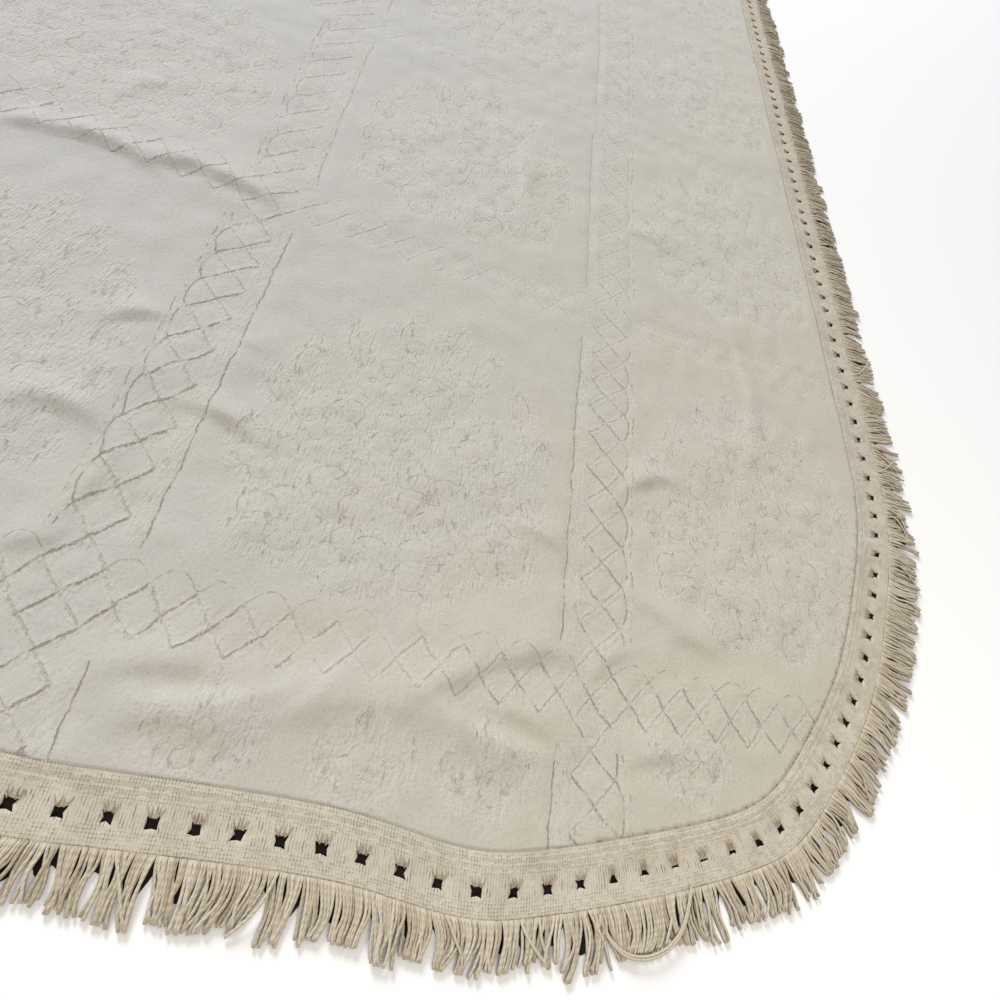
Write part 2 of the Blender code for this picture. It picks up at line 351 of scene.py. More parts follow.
def puckers(x, y):
    """Height of the small puckers, which only ever rise above the plain cloth."""
    chance = np.random.default_rng(7)
    height = np.zeros_like(x)
    for _ in range(PUCKER_WAVES):
        length = chance.uniform(PUCKER_SHORTEST, PUCKER_LONGEST)
        turn = chance.uniform(0.0, 2 * math.pi)
        phase = 2 * math.pi * (x * math.cos(turn) + y * math.sin(turn)) / length + turn * 5
        wave = np.sin(phase + 1.5 * np.sin(7 * x - 5 * y + turn))
        height = height + length / PUCKER_LONGEST * wave
    return PUCKER * np.maximum(height / math.sqrt(PUCKER_WAVES) + 0.8, 0.0)


CORNER_FINE = np.linspace(0.0, math.pi / 2, 721)
CORNER_ARC = np.concatenate(([0.0], np.cumsum(np.hypot(
    np.diff(CORNER_WIDTH * np.cos(CORNER_FINE)), np.diff(CORNER_DEPTH * np.sin(CORNER_FINE))))))


def seam_line(station):
    """Points on the seam at these stations, and the way out of the cloth there."""
    station = station + np.interp(station, SLIP_STATION, SLIP)
    mirrored = station > LAST_STATION / 2
    near = np.where(mirrored, LAST_STATION - station, station)
    angle = np.interp((near - SIDE_END) / CORNER_PITCHES * CORNER_ARC[-1], CORNER_ARC, CORNER_FINE)
    x = HALF_FOOT + CORNER_WIDTH * np.cos(angle) - np.maximum(near - CORNER_END, 0) * PITCH
    y = CORNER_Y - CORNER_DEPTH * np.sin(angle) + np.maximum(SIDE_END - near, 0) * PITCH
    out_x = CORNER_DEPTH * np.cos(angle)
    out_y = -CORNER_WIDTH * np.sin(angle)
    size = np.hypot(out_x, out_y)
    side = np.where(mirrored, -1.0, 1.0)
    return side * x, y, side * out_x / size, out_y / size


def rail(station, reach):
    """Laid points this far outside the seam."""
    x, y, out_x, out_y = seam_line(station)
    return swayed(x + reach * out_x, y + reach * out_y)


def inside_seam(x, y):
    """Distance from the seam into the cut cloth, and the way out of it."""
    side_x = np.maximum(np.abs(x) - HALF_FOOT, 0.0)
    side_y = np.maximum(CORNER_Y - y, 0.0)
    ellipse = np.hypot(side_x / CORNER_WIDTH, side_y / CORNER_DEPTH)
    slope = np.hypot(side_x / CORNER_WIDTH ** 2, side_y / CORNER_DEPTH ** 2)
    middle = ellipse < 1e-6
    safe = np.where(middle, 1.0, slope)
    depth = np.where(middle, 1.0, (1 - ellipse) * ellipse / safe)
    depth = np.where(middle, np.minimum(HALF_WIDTH - np.abs(x), y - FOOT_Y), depth)
    way_x = np.sign(x) * side_x / CORNER_WIDTH ** 2 / safe
    way_y = -side_y / CORNER_DEPTH ** 2 / safe
    return depth, way_x, way_y


# ---- the woven figure ----

def smooth(value, low, high):
    """Smooth step from 0 at low to 1 at high."""
    share = np.clip((value - low) / (high - low), 0.0, 1.0)
    return share * share * (3 - 2 * share)


def bell(distance, half_width):
    """A bell curve: 1 at distance 0, fading beyond its half-width."""
    return np.exp(-((distance / half_width) ** 2))


def cut_x(x, y):
    """Where across the cut cloth a laid point comes from."""
    share = np.clip(x / HALF_WIDTH, -1, 1)
    taper = np.cos(share * math.pi / 2) ** 0.6
    bulge, tuck = FOOT_BULGE, BAND_TUCK
    widen = bulge.move * np.sin(share * math.pi) * bell(y - bulge.y, bulge.half_height)
    tucked = tuck.move * smooth(x, tuck.x - tuck.half_width, tuck.x) * (1 - smooth(x, 0.50, 0.72))
    tucked = tucked * bell(y - tuck.y, tuck.half_height)
    aside = LEFT_ASIDE * smooth(-x, 0.0, 0.20) * taper
    return x - np.interp(y, DRIFT_Y, DRIFT_X) * taper - widen - tucked - aside


def lattice_place(x, y):
    """Lattice units across and along: lines run where their sum or difference is whole."""
    inner = 2 * (BAND_X - HALF_DIAMOND) / ACROSS_UNITS
    stops = np.array((-1.0, -BAND_X - HALF_DIAMOND, -BAND_X + HALF_DIAMOND,
                      BAND_X - HALF_DIAMOND, BAND_X + HALF_DIAMOND, 1.0))
    left = -ACROSS_UNITS - 1.5
    outer = (1.0 - BAND_X - HALF_DIAMOND) / inner
    units = (left - outer, left, left + 1, -0.5, 0.5, 0.5 + outer)

    # Left of the right band the rows run askew, and more so up the cloth
    askew = (0.036 + 0.042 * np.clip(y + 1.05, 0.0, 0.8)) * np.minimum(x - 0.28, 0.0)
    twist = LATTICE_TWIST
    moved = bell(x - twist.x, twist.half_width) * bell(y - twist.y, twist.half_height)
    askew = askew + twist.move * moved
    return np.interp(x, stops, units), np.interp(y + askew, ROW_Y, ROW_UNITS)


def petal(x, y, middle_x, middle_y, half_length, half_width, turn):
    """Signed distance to an egg shape that points along turn."""
    along, across = turned(x, y, middle_x, middle_y, turn)
    ratio = np.hypot(along / half_length, across / half_width)
    return (ratio - 1) * min(half_length, half_width)


def draw_blossom(layers, x, y, motif):
    """Five petals, by turns in two layers, round a raised heart."""
    size = motif.size
    for index in range(PETALS):
        turn = math.radians(motif.turn + 360 * index / PETALS)
        middle_x = motif.x + PETAL_OUT * size * math.cos(turn)
        middle_y = motif.y + PETAL_OUT * size * math.sin(turn)
        shape = petal(x, y, middle_x, middle_y, PETAL_LENGTH * size, PETAL_WIDTH * size, turn)
        layer = "petal_a" if index % 2 == 0 else "petal_b"
        np.minimum(layers[layer], shape, out=layers[layer])
    heart = petal(x, y, motif.x, motif.y, HEART * size, HEART * size, 0.0)
    np.minimum(layers["heart"], heart, out=layers["heart"])


def draw_leaf(layers, x, y, motif):
    """A pointed leaf in two halves that meet at its midrib."""
    along, across = turned(x, y, motif.x, motif.y, math.radians(motif.turn))
    share = np.clip(along / motif.size, -1, 1)
    blade = np.abs(across) - LEAF_WIDTH * motif.size * (1 - share ** 2)
    blade = np.maximum(blade, np.abs(along) - motif.size)
    np.minimum(layers["leaf_a"], np.maximum(blade, across), out=layers["leaf_a"])
    np.minimum(layers["leaf_b"], np.maximum(blade, -across), out=layers["leaf_b"])


def draw_sprays(x, y):
    """Signed distances to the petals, hearts and halves of leaves of every spray."""
    layers = {name: np.full_like(x, FAR) for name in
              ("leaf_a", "leaf_b", "petal_a", "petal_b", "heart")}
    for placing in PLACINGS:
        near = ((np.abs(x - placing.x) < placing.half_width + FAR)
                & (np.abs(y - placing.y) < placing.half_height + FAR))
        local_x = (x[near] - placing.x) * placing.flip
        local_y = y[near] - placing.y
        part = {name: field[near] for name, field in layers.items()}
        for motif in placing.spray:
            draw = draw_blossom if motif.kind == "blossom" else draw_leaf
            draw(part, local_x, local_y, motif)
        for name, field in layers.items():
            field[near] = part[name]
    return layers


def figure(x, y):
    """The woven figure at laid points, as named fields."""
    across = cut_x(x, y)
    units_x, units_y = lattice_place(across, y)
    side = np.abs(across)
    crossing = np.full_like(x, FAR)
    arch = np.full_like(x, FAR)
    band = HALF_DIAMOND - np.abs(side - BAND_X)
    for unit in CROSS_UNITS:
        off = np.abs(units_y - unit)
        band = np.maximum(band, (0.5 - off) * ROW_METRES)
        bow = (units_y - unit - 0.5 - ARCH_UNITS * scallop(units_x)) * ROW_METRES
        arch = np.where(np.abs(bow) < np.abs(arch), bow, arch)
        crossing = np.minimum(crossing, (off - 1.0) * ROW_METRES)
    groove = side - GROOVE_X
    arc = side - ARC_X - ARC_BULGE * scallop(units_y)

    layers = draw_sprays(across, y)
    lattice_gap = np.minimum(line_gap(units_x + units_y), line_gap(units_x - units_y)) * LINE_SPREAD
    in_band = smooth(band, -0.004, 0.004)
    strip = smooth(-groove, -0.034, -0.026) * smooth(groove, -0.003, 0.003)
    outer_strip = smooth(arc, -0.003, 0.003) * smooth(-arc, -ARC_STRIP, -ARC_STRIP + 0.008)
    strips = np.maximum(strip, outer_strip) * smooth(crossing, -0.004, 0.004) * (1 - in_band)
    shapes = np.minimum.reduce([field for name, field in layers.items() if name != "heart"])
    sprays = smooth(-shapes, -0.024, -0.004) * (1 - in_band)
    short = np.maximum.reduce((in_band * smooth(-lattice_gap, -0.015, 0.0), 0.7 * strips,
                               sprays * smooth(shapes, -0.010, 0.003)))
    rough = np.maximum.reduce((in_band * smooth(-lattice_gap, -0.009, -0.002) * 0.7, 0.6 * strips,
                               sprays * (0.50 + 0.50 * smooth(shapes, -0.004, 0.002))))
    edge = np.where(in_band > 0.5, lattice_gap, np.abs(shapes))
    return {
        "units_x": units_x, "units_y": units_y, "band": band, "groove": groove,
        "arc": arc, "open": crossing, "arch": arch, "worn": worn(x, y, side, crossing),
        "short": short, "rough": rough, "edge": edge, **layers,
    }


def worn(x, y, side, crossing):
    """How much the sunken lines and their painted shade fade, from 0 to 1: far up the cloth, and
    where rubbed flat in a crosswise band.
    """
    far = FAR_FADE * smooth(y + 0.35 * x, -0.80, -0.05)
    between = smooth(np.abs(side - BAND_X), HALF_DIAMOND, HALF_DIAMOND + 0.01)
    across_only = smooth(-crossing, -0.010, 0.010) * between
    upper_band = smooth(x, -0.34, -0.16) * (1 - 0.6 * smooth(x, 0.62, 0.78))
    foot_band = bell(x + 0.01, 0.13)
    middle = np.where(y > -0.8, upper_band, foot_band)
    return 1 - (1 - far) * (1 - MIDDLE_WEAR * middle * across_only)


def line_gap(place):
    """Distance to the nearest whole number."""
    return np.abs(place - np.round(place))


def scallop(units):
    """A row of arches, one to a unit, from 0 at their feet to 1 at their tops."""
    return np.abs(np.cos(math.pi * units)) ** 0.8


# ---- mesh helpers ----

def graded(low, high, spacing):
    """Grid lines from low to high, as far apart as spacing says at each place."""
    fine = np.linspace(low, high, 4001)
    count = np.concatenate(([0.0], np.cumsum(np.diff(fine) / spacing(fine[:-1]))))
    lines = max(int(round(count[-1])), 1)
    return np.interp(np.linspace(0, count[-1], lines + 1), count, fine)


def start_piece():
    """Select nothing before a new piece is added."""
    if bpy.context.object and bpy.context.object.mode != "OBJECT":
        bpy.ops.object.mode_set(mode="OBJECT")
    bpy.ops.object.select_all(action="DESELECT")


def add_grid(name, columns, rows):
    """A flat grid and the column and row of each of its vertices."""
    start_piece()
    bpy.ops.mesh.primitive_grid_add(x_subdivisions=columns, y_subdivisions=rows, size=1.0)
    piece = bpy.context.object
    piece.name = name
    piece.data.name = name
    points = points_of(piece)
    column = np.round((points[:, 0] + 0.5) * columns).astype(int)
    row = np.round((points[:, 1] + 0.5) * rows).astype(int)
    return piece, column, row


def points_of(piece):
    """The piece's vertices as rows of x, y, z."""
    flat = np.empty(len(piece.data.vertices) * 3)
    piece.data.vertices.foreach_get("co", flat)
    return flat.reshape(-1, 3)


def move_points(piece, points):
    """Put the piece's vertices at these places."""
    piece.data.vertices.foreach_set("co", np.ascontiguousarray(points, dtype=np.float32).ravel())
    piece.data.update()


def keep_field(piece, name, *fields):
    """Store up to three fields on the piece's vertices, as one vector attribute."""
    columns = [np.asarray(field, dtype=np.float32) for field in fields]
    while len(columns) < 3:
        columns.append(np.zeros_like(columns[0]))
    attribute = piece.data.attributes.new(name, "FLOAT_VECTOR", "POINT")
    attribute.data.foreach_set("vector", np.stack(columns, axis=1).ravel())


def drop_faces(piece, drop):
    """Delete the faces whose grid corners the test picks, with what is left loose."""
    mesh = bmesh.new()
    mesh.from_mesh(piece.data)
    doomed = [face for face in mesh.faces if drop(face)]
    bmesh.ops.delete(mesh, geom=doomed, context="FACES")
    mesh.to_mesh(piece.data)
    mesh.free()


def thicken(piece, points, under):
    """Close the sheet: its top at these points and its underside below them at that height."""
    count = len(points)
    move_points(piece, points)
    bpy.context.view_layer.objects.active = piece
    piece.select_set(True)
    shell = piece.modifiers.new("shell", "SOLIDIFY")
    shell.thickness = 0.001
    shell.offset = -1.0
    bpy.ops.object.modifier_apply(modifier=shell.name)
    closed = points_of(piece)
    closed[:count] = points
    closed[count:, :2] = points[:, :2]
    closed[count:, 2] = under
    move_points(piece, closed)


def finish_piece(piece, material, node):
    """Smooth the piece, give it its finish, attach it to the root body and hide the part that it
    stands for.
    """
    piece.data.materials.clear()
    piece.data.materials.append(material)
    start_piece()
    piece.select_set(True)
    bpy.context.view_layer.objects.active = piece
    bpy.ops.object.shade_smooth()
    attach(piece, "root")
    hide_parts(node)


def add_strands(name, paths, half_width, half_height, sides, tones):
    """Yarns along these paths, one array row each, as one joined mesh."""
    count, rings, _ = paths.shape
    start_piece()
    bpy.ops.mesh.primitive_circle_add(vertices=sides, radius=1.0, fill_type="NGON")
    piece = bpy.context.object
    piece.name = name
    piece.data.name = name
    bpy.ops.object.mode_set(mode="EDIT")
    bpy.ops.mesh.select_all(action="SELECT")
    for _ in range(rings - 1):
        bpy.ops.mesh.extrude_region_move(TRANSFORM_OT_translate={"value": (0, 0, 1)})
    bpy.ops.mesh.select_all(action="SELECT")
    bpy.ops.mesh.normals_make_consistent(inside=False)
    bpy.ops.object.mode_set(mode="OBJECT")

    strand = points_of(piece)
    ring = np.round(strand[:, 2]).astype(int)
    angle = np.arctan2(strand[:, 1], strand[:, 0])
    rows = piece.modifiers.new("rows", "ARRAY")
    rows.count = count
    rows.use_relative_offset = False
    rows.use_constant_offset = True
    rows.constant_offset_displace = (4.0, 0.0, 0.0)
    bpy.ops.object.modifier_apply(modifier=rows.name)

    yarn = np.repeat(np.arange(count), len(strand))
    ring = np.tile(ring, count)
    angle = np.tile(angle, count)
    tangent = np.gradient(paths, axis=1)
    tangent /= np.linalg.norm(tangent, axis=2, keepdims=True)
    beside = np.stack((tangent[:, :, 1], -tangent[:, :, 0], np.zeros((count, rings))), axis=2)
    beside /= np.maximum(np.linalg.norm(beside, axis=2, keepdims=True), 1e-6)
    over = np.cross(beside, tangent)
    wide = (half_width * np.cos(angle))[:, None]
    high = (half_height * np.sin(angle))[:, None]
    move_points(piece, paths[yarn, ring] + beside[yarn, ring] * wide + over[yarn, ring] * high)
    bpy.ops.object.mode_set(mode="EDIT")
    bpy.ops.mesh.select_all(action="SELECT")
    bpy.ops.mesh.normals_make_consistent(inside=False)
    bpy.ops.object.mode_set(mode="OBJECT")

    steps = np.linalg.norm(np.diff(paths, axis=1), axis=2)
    along = np.concatenate((np.zeros((count, 1)), np.cumsum(steps, axis=1)), axis=1)
    keep_field(piece, "yarn", angle / (2 * math.pi) + 0.5, along[yarn, ring], tones[yarn])
    return piece


# ---- materials ----

class Recipe:
    """Shader nodes of one material, wired one after the other."""

    def __init__(self, name, roughness, sheen):
        """A matt fibrous finish with this name."""
        self.material = bpy.data.materials.new(name)
        self.material.use_nodes = True
        self.nodes = self.material.node_tree.nodes
        self.links = self.material.node_tree.links
        self.shader = self.nodes["Principled BSDF"]
        self.shader.inputs["Roughness"].default_value = roughness
        self.shader.inputs["Sheen Weight"].default_value = sheen
        self.shader.inputs["Sheen Roughness"].default_value = 0.6
        self.shader.inputs["Specular IOR Level"].default_value = 0.15

    def feed(self, socket, value):
        """Set a socket to a number or colour, or link it to another node's output."""
        if isinstance(value, (int, float, tuple)):
            socket.default_value = value
        else:
            self.links.new(value, socket)

    def place(self):
        """Object coordinates."""
        return self.nodes.new("ShaderNodeTexCoord").outputs["Object"]

    def field(self, name):
        """The three parts of a vector attribute."""
        source = self.nodes.new("ShaderNodeAttribute")
        source.attribute_name = name
        return self.split(source.outputs["Vector"])

    def split(self, vector):
        """The three parts of a vector."""
        parts = self.nodes.new("ShaderNodeSeparateXYZ")
        self.links.new(vector, parts.inputs[0])
        return parts.outputs[0], parts.outputs[1], parts.outputs[2]

    def vector(self, x, y, z):
        """A vector from three numbers."""
        join = self.nodes.new("ShaderNodeCombineXYZ")
        for socket, value in zip(join.inputs, (x, y, z)):
            self.feed(socket, value)
        return join.outputs[0]

    def stretch(self, vector, x, y, z):
        """A vector scaled along each axis."""
        scale = self.nodes.new("ShaderNodeVectorMath")
        scale.operation = "MULTIPLY"
        self.links.new(vector, scale.inputs[0])
        scale.inputs[1].default_value = (x, y, z)
        return scale.outputs[0]

    def math(self, operation, first, second=0.0, third=0.0):
        """One Math node."""
        node = self.nodes.new("ShaderNodeMath")
        node.operation = operation
        for socket, value in zip(node.inputs, (first, second, third)):
            self.feed(socket, value)
        return node.outputs[0]

    def step(self, value, low, high, start=0.0, end=1.0):
        """Smooth step of a value between low and high."""
        node = self.nodes.new("ShaderNodeMapRange")
        node.interpolation_type = "SMOOTHSTEP"
        limits = {"From Min": low, "From Max": high, "To Min": start, "To Max": end}
        for name, number in limits.items():
            node.inputs[name].default_value = number
        self.links.new(value, node.inputs["Value"])
        return node.outputs[0]

    def noise(self, vector, scale, detail=2.0, roughness=0.5):
        """Noise from 0 to 1."""
        node = self.nodes.new("ShaderNodeTexNoise")
        self.links.new(vector, node.inputs["Vector"])
        node.inputs["Scale"].default_value = scale
        node.inputs["Detail"].default_value = detail
        node.inputs["Roughness"].default_value = roughness
        return node.outputs["Fac"]

    def blend(self, share, first, second):
        """A colour between two colours."""
        node = self.nodes.new("ShaderNodeMix")
        node.data_type = "RGBA"
        node.clamp_factor = True
        self.feed(node.inputs[0], share)
        for socket, value in ((node.inputs[6], first), (node.inputs[7], second)):
            self.feed(socket, (*value, 1.0) if isinstance(value, tuple) else value)
        return node.outputs[2]

    def largest(self, *values):
        """The largest of several numbers."""
        best = values[0]
        for value in values[1:]:
            best = self.math("MAXIMUM", best, value)
        return best

    def product(self, *values):
        """The product of several numbers."""
        result = values[0]
        for value in values[1:]:
            result = self.math("MULTIPLY", result, value)
        return result

    def weighted(self, *parts):
        """The sum of several numbers, each times its own weight."""
        total = 0.0
        for weight, value in parts:
            total = self.math("MULTIPLY_ADD", value, weight, total)
        return total

    def finish(self, colour, height, depth):
        """Wire the colour and the bump into the shader."""
        self.links.new(colour, self.shader.inputs["Base Color"])
        bump = self.nodes.new("ShaderNodeBump")
        bump.inputs["Distance"].default_value = depth
        bump.inputs["Strength"].default_value = 1.0
        self.links.new(height, bump.inputs["Height"])
        self.links.new(bump.outputs["Normal"], self.shader.inputs["Normal"])
        return self.material


# Colours of the panel, from its pile under painted cool and warm light to the painted shade deep in
# its lines
PLUSH_PALE = (0.645, 0.622, 0.560)
PLUSH_COOL = (0.525, 0.515, 0.506)
PLUSH_WARM = (0.538, 0.504, 0.408)
SHADE_BROWN = (0.30, 0.27, 0.21)
LINE_SHADE_BROWN = (0.150, 0.118, 0.062)

# Colours of the trim: its yarns, the painted shade in its gaps and pits and under its yarns, and its
# stains
HEADING_PALE = (0.590, 0.540, 0.445)
HEADING_DEEP = (0.530, 0.475, 0.380)
PIT_SHADE = (0.16, 0.12, 0.08)
SLIT_DARK = (0.07, 0.05, 0.035)
CROWN_SHADE = (0.38, 0.30, 0.18)
STAIN_BROWN = (0.36, 0.23, 0.12)
YARN_UNDERSIDE_SHADE = (0.14, 0.105, 0.07)
PLY_SHADE = (0.22, 0.17, 0.11)
FUZZ_BROWN = (0.30, 0.25, 0.18)

# Half-widths of the sunken lines
FALLING_WIDTH = 0.0013
RISING_WIDTH = 0.0017
GROOVE_WIDTH = 0.0009
ARC_WIDTH = 0.0011
ARCH_WIDTH = 0.0010
SHAPE_WIDTH = 0.0012       # round petals and leaves
HEART_WIDTH = 0.0010
OUTER_LINE_X = ARC_X + ARC_BULGE + 0.007  # a faint straight line outside the arcs

# Depths of the bump
PANEL_BUMP = 0.0010
HEADING_BUMP = 0.0007
YARN_BUMP = 0.0005


def cloth_noises(cloth):
    """Unevenness of the pile at several sizes, from single threads to broad patches."""
    place = cloth.place()
    across, along, _ = cloth.split(place)
    lengthways = cloth.stretch(place, 1.0, 0.6, 1.0)

    # Threads run along the cloth and lean a little at its sides, and the strokes with them
    leaning = cloth.math("MULTIPLY", across, cloth.math("MULTIPLY_ADD", along, 0.4, 1.0))
    threads = cloth.vector(leaning, cloth.math("MULTIPLY", along, 0.16), 0.0)
    fine_wander = cloth.noise(place, 170.0, 3.0, 0.75)
    fine_wander = cloth.math("MULTIPLY_ADD", fine_wander, 0.0056, -0.0028)
    broad_wander = cloth.math("MULTIPLY_ADD", cloth.noise(place, 22.0, 2.0), 0.012, -0.006)
    return SimpleNamespace(
        across=across, along=along,
        stroke=cloth.noise(threads, 420.0, 0.5),
        long_stroke=cloth.noise(threads, 290.0, 1.0, 0.6),
        grain=cloth.noise(lengthways, 430.0, 3.0, 0.7),
        nap=cloth.noise(cloth.stretch(place, 1.0, 0.7, 1.0), 190.0, 2.0, 0.6),
        dash=cloth.noise(lengthways, 85.0, 2.0, 0.6),
        brushed=cloth.noise(lengthways, 34.0, 4.0, 0.65),
        patchy=cloth.noise(place, 26.0, 2.0, 0.6),
        hue=cloth.noise(place, 8.0, 3.0, 0.6),
        fine_wander=fine_wander,
        wander=cloth.math("ADD", fine_wander, broad_wander),
    )


def drawn(cloth, noises, distance, half_width):
    """A wandering line where the distance is nearly zero."""
    off = cloth.math("ABSOLUTE", cloth.math("ADD", distance, noises.wander))
    return cloth.step(off, half_width * 0.25, half_width * 1.50, 1.0, 0.0)


def lattice_line(cloth, units):
    """Distance to the lattice line where these units are whole."""
    part = cloth.math("SUBTRACT", cloth.math("FRACT", cloth.math("ADD", units, 0.5)), 0.5)
    return cloth.math("MULTIPLY", part, LINE_SPREAD)


def lattice_lines(cloth, noises, band, fresh):
    """The lattice as a dip, and as the painted shade of the lines that lean each way."""
    units_x, units_y, _ = cloth.field("lattice")
    in_band = cloth.step(band, -0.0020, 0.0010)
    falling = lattice_line(cloth, cloth.math("ADD", units_x, units_y))
    falling = cloth.product(drawn(cloth, noises, falling, FALLING_WIDTH), in_band)
    rising = lattice_line(cloth, cloth.math("SUBTRACT", units_x, units_y))
    rising = cloth.product(drawn(cloth, noises, rising, RISING_WIDTH), in_band)
    lattice = cloth.product(cloth.largest(falling, rising), fresh,
                            cloth.step(noises.dash, 0.34, 0.56, 0.2, 1.0))

    # Painted shade from the light's direction: the lines that lean one way are the darker ones on the
    # left, and the others on the right
    right_side = cloth.step(noises.across, -0.05, 0.22)
    broken = cloth.product(cloth.step(noises.dash, 0.36, 0.54, 0.30, 1.0),
                           cloth.step(noises.grain, 0.38, 0.56, 0.35, 1.0), fresh)
    falling = cloth.product(falling, broken, cloth.math("MULTIPLY_ADD", right_side, 0.45, 0.42))
    rising = cloth.product(rising, broken, cloth.math("MULTIPLY_ADD", right_side, -0.70, 1.00))
    return lattice, cloth.largest(falling, rising)


def border_lines(cloth, noises, band, fresh):
    """The painted shade of the straight lines and arcs beside the bands and of the arches over them,
    and a painted shadow along the seam.
    """
    groove, arc, open_run = cloth.field("lines")
    arch = cloth.field("leaves")[2]
    depth = cloth.field("pile")[2]
    dash = noises.dash
    free = cloth.step(open_run, -0.001, 0.001)
    outer_line = cloth.math("SUBTRACT", groove, OUTER_LINE_X - GROOVE_X)
    # A faint dashed painted shadow along the seam
    seam_shadow = cloth.step(cloth.math("ADD", depth, noises.fine_wander), 0.0022, 0.0040, 1.0, 0.0)
    return cloth.largest(
        cloth.product(drawn(cloth, noises, groove, GROOVE_WIDTH), free, fresh,
                      cloth.step(dash, 0.34, 0.54, 0.20, 0.9)),
        cloth.product(drawn(cloth, noises, arc, ARC_WIDTH), free, fresh,
                      cloth.step(dash, 0.38, 0.56, 0.15, 0.85)),
        cloth.product(drawn(cloth, noises, outer_line, GROOVE_WIDTH), free,
                      cloth.step(dash, 0.48, 0.62, 0.0, 0.7)),
        cloth.product(drawn(cloth, noises, arch, ARCH_WIDTH), fresh,
                      cloth.step(band, -0.001, 0.001, 1.0, 0.0),
                      cloth.step(dash, 0.42, 0.60, 0.0, 0.55)),
        cloth.product(seam_shadow, cloth.step(dash, 0.45, 0.60, 0.0, 0.10)))


def spray_marks(cloth, noises, band, seen, matted):
    """The sprays' faint outlines, and the painted shade of broken strokes and of the outlines where
    those run steeply.
    """
    leaf_a, leaf_b, _ = cloth.field("leaves")
    petal_a, petal_b, heart = cloth.field("petals")
    upright = cloth.field("pile")[1]
    shapes = [drawn(cloth, noises, shape, SHAPE_WIDTH)
              for shape in (leaf_a, leaf_b, petal_a, petal_b)]
    outlines = cloth.largest(*shapes, drawn(cloth, noises, heart, HEART_WIDTH))
    outlines = cloth.product(outlines, cloth.step(band, -0.004, 0.0, 1.0, 0.0))
    # Painted shade on the outlines where they run steeply
    steep = cloth.product(outlines, cloth.step(upright, 0.25, 0.80),
                          cloth.step(noises.dash, 0.50, 0.62), seen)
    strokes = cloth.product(cloth.step(noises.stroke, 0.66, 0.71), matted,
                            cloth.step(noises.patchy, 0.40, 0.60))
    long_strokes = cloth.product(cloth.step(noises.long_stroke, 0.68, 0.71), matted,
                                 cloth.step(noises.patchy, 0.44, 0.60))
    marks = cloth.largest(cloth.math("MULTIPLY", strokes, 0.60),
                          cloth.math("MULTIPLY", long_strokes, 0.70),
                          cloth.math("MULTIPLY", steep, 0.38))
    return cloth.product(outlines, cloth.step(noises.dash, 0.36, 0.60)), marks


def chenille():
    """Velour pile with a sunken figure: lattice, straight grooves, arcs and sprays."""
    cloth = Recipe("panel_cotton_look", 0.92, 0.15)
    noises = cloth_noises(cloth)
    band = cloth.field("lattice")[2]
    rough = cloth.field("pile")[0]
    fresh = cloth.math("SUBTRACT", 1.0, cloth.field("fade_and_wear")[0])
    seen = cloth.math("MULTIPLY_ADD", fresh, 0.8, 0.2)
    matted = cloth.product(rough, seen)
    lattice, lattice_shade = lattice_lines(cloth, noises, band, fresh)
    outlines, marks = spray_marks(cloth, noises, band, seen, matted)
    line = cloth.largest(lattice_shade, border_lines(cloth, noises, band, fresh), marks)

    # Painted light: warmer towards the foot's right, cooler towards the head's left, with some tone
    # that differs at random
    light_warmth = cloth.math("SUBTRACT", noises.across, cloth.math("MULTIPLY", noises.along, 0.45))
    light_warmth = cloth.math("ADD", light_warmth, cloth.math("MULTIPLY_ADD", noises.hue, 0.8, -0.4))
    colour = cloth.blend(cloth.step(light_warmth, -0.65, 1.25), PLUSH_COOL, PLUSH_WARM)
    # The rough pile is painted paler, a painted light that offsets the shade of its bump
    colour = cloth.blend(cloth.math("MULTIPLY", rough, 0.45), colour, PLUSH_PALE)
    # Brushed, grainy and nappy tone that differs at random, and a faint painted shade on the sprays'
    # sunken outlines
    for shade in (cloth.step(noises.brushed, 0.50, 0.80, 0.0, 0.16),
                  cloth.step(noises.grain, 0.48, 0.72, 0.0, 0.26),
                  cloth.step(noises.nap, 0.55, 0.80, 0.0, 0.14),
                  cloth.math("MULTIPLY", outlines, 0.08)):
        colour = cloth.blend(shade, colour, SHADE_BROWN)
    # The sunken lines and the strokes are painted dark with shade
    colour = cloth.blend(cloth.math("MULTIPLY", line, 0.60), colour, LINE_SHADE_BROWN)
    height = cloth.weighted((0.60, noises.grain), (0.60, noises.nap),
                            (1.9, cloth.product(noises.stroke, matted)),
                            (1.0, cloth.product(noises.grain, matted)),
                            (-0.6, lattice), (-0.5, outlines), (-1.0, line))
    return cloth.finish(colour, height, PANEL_BUMP)


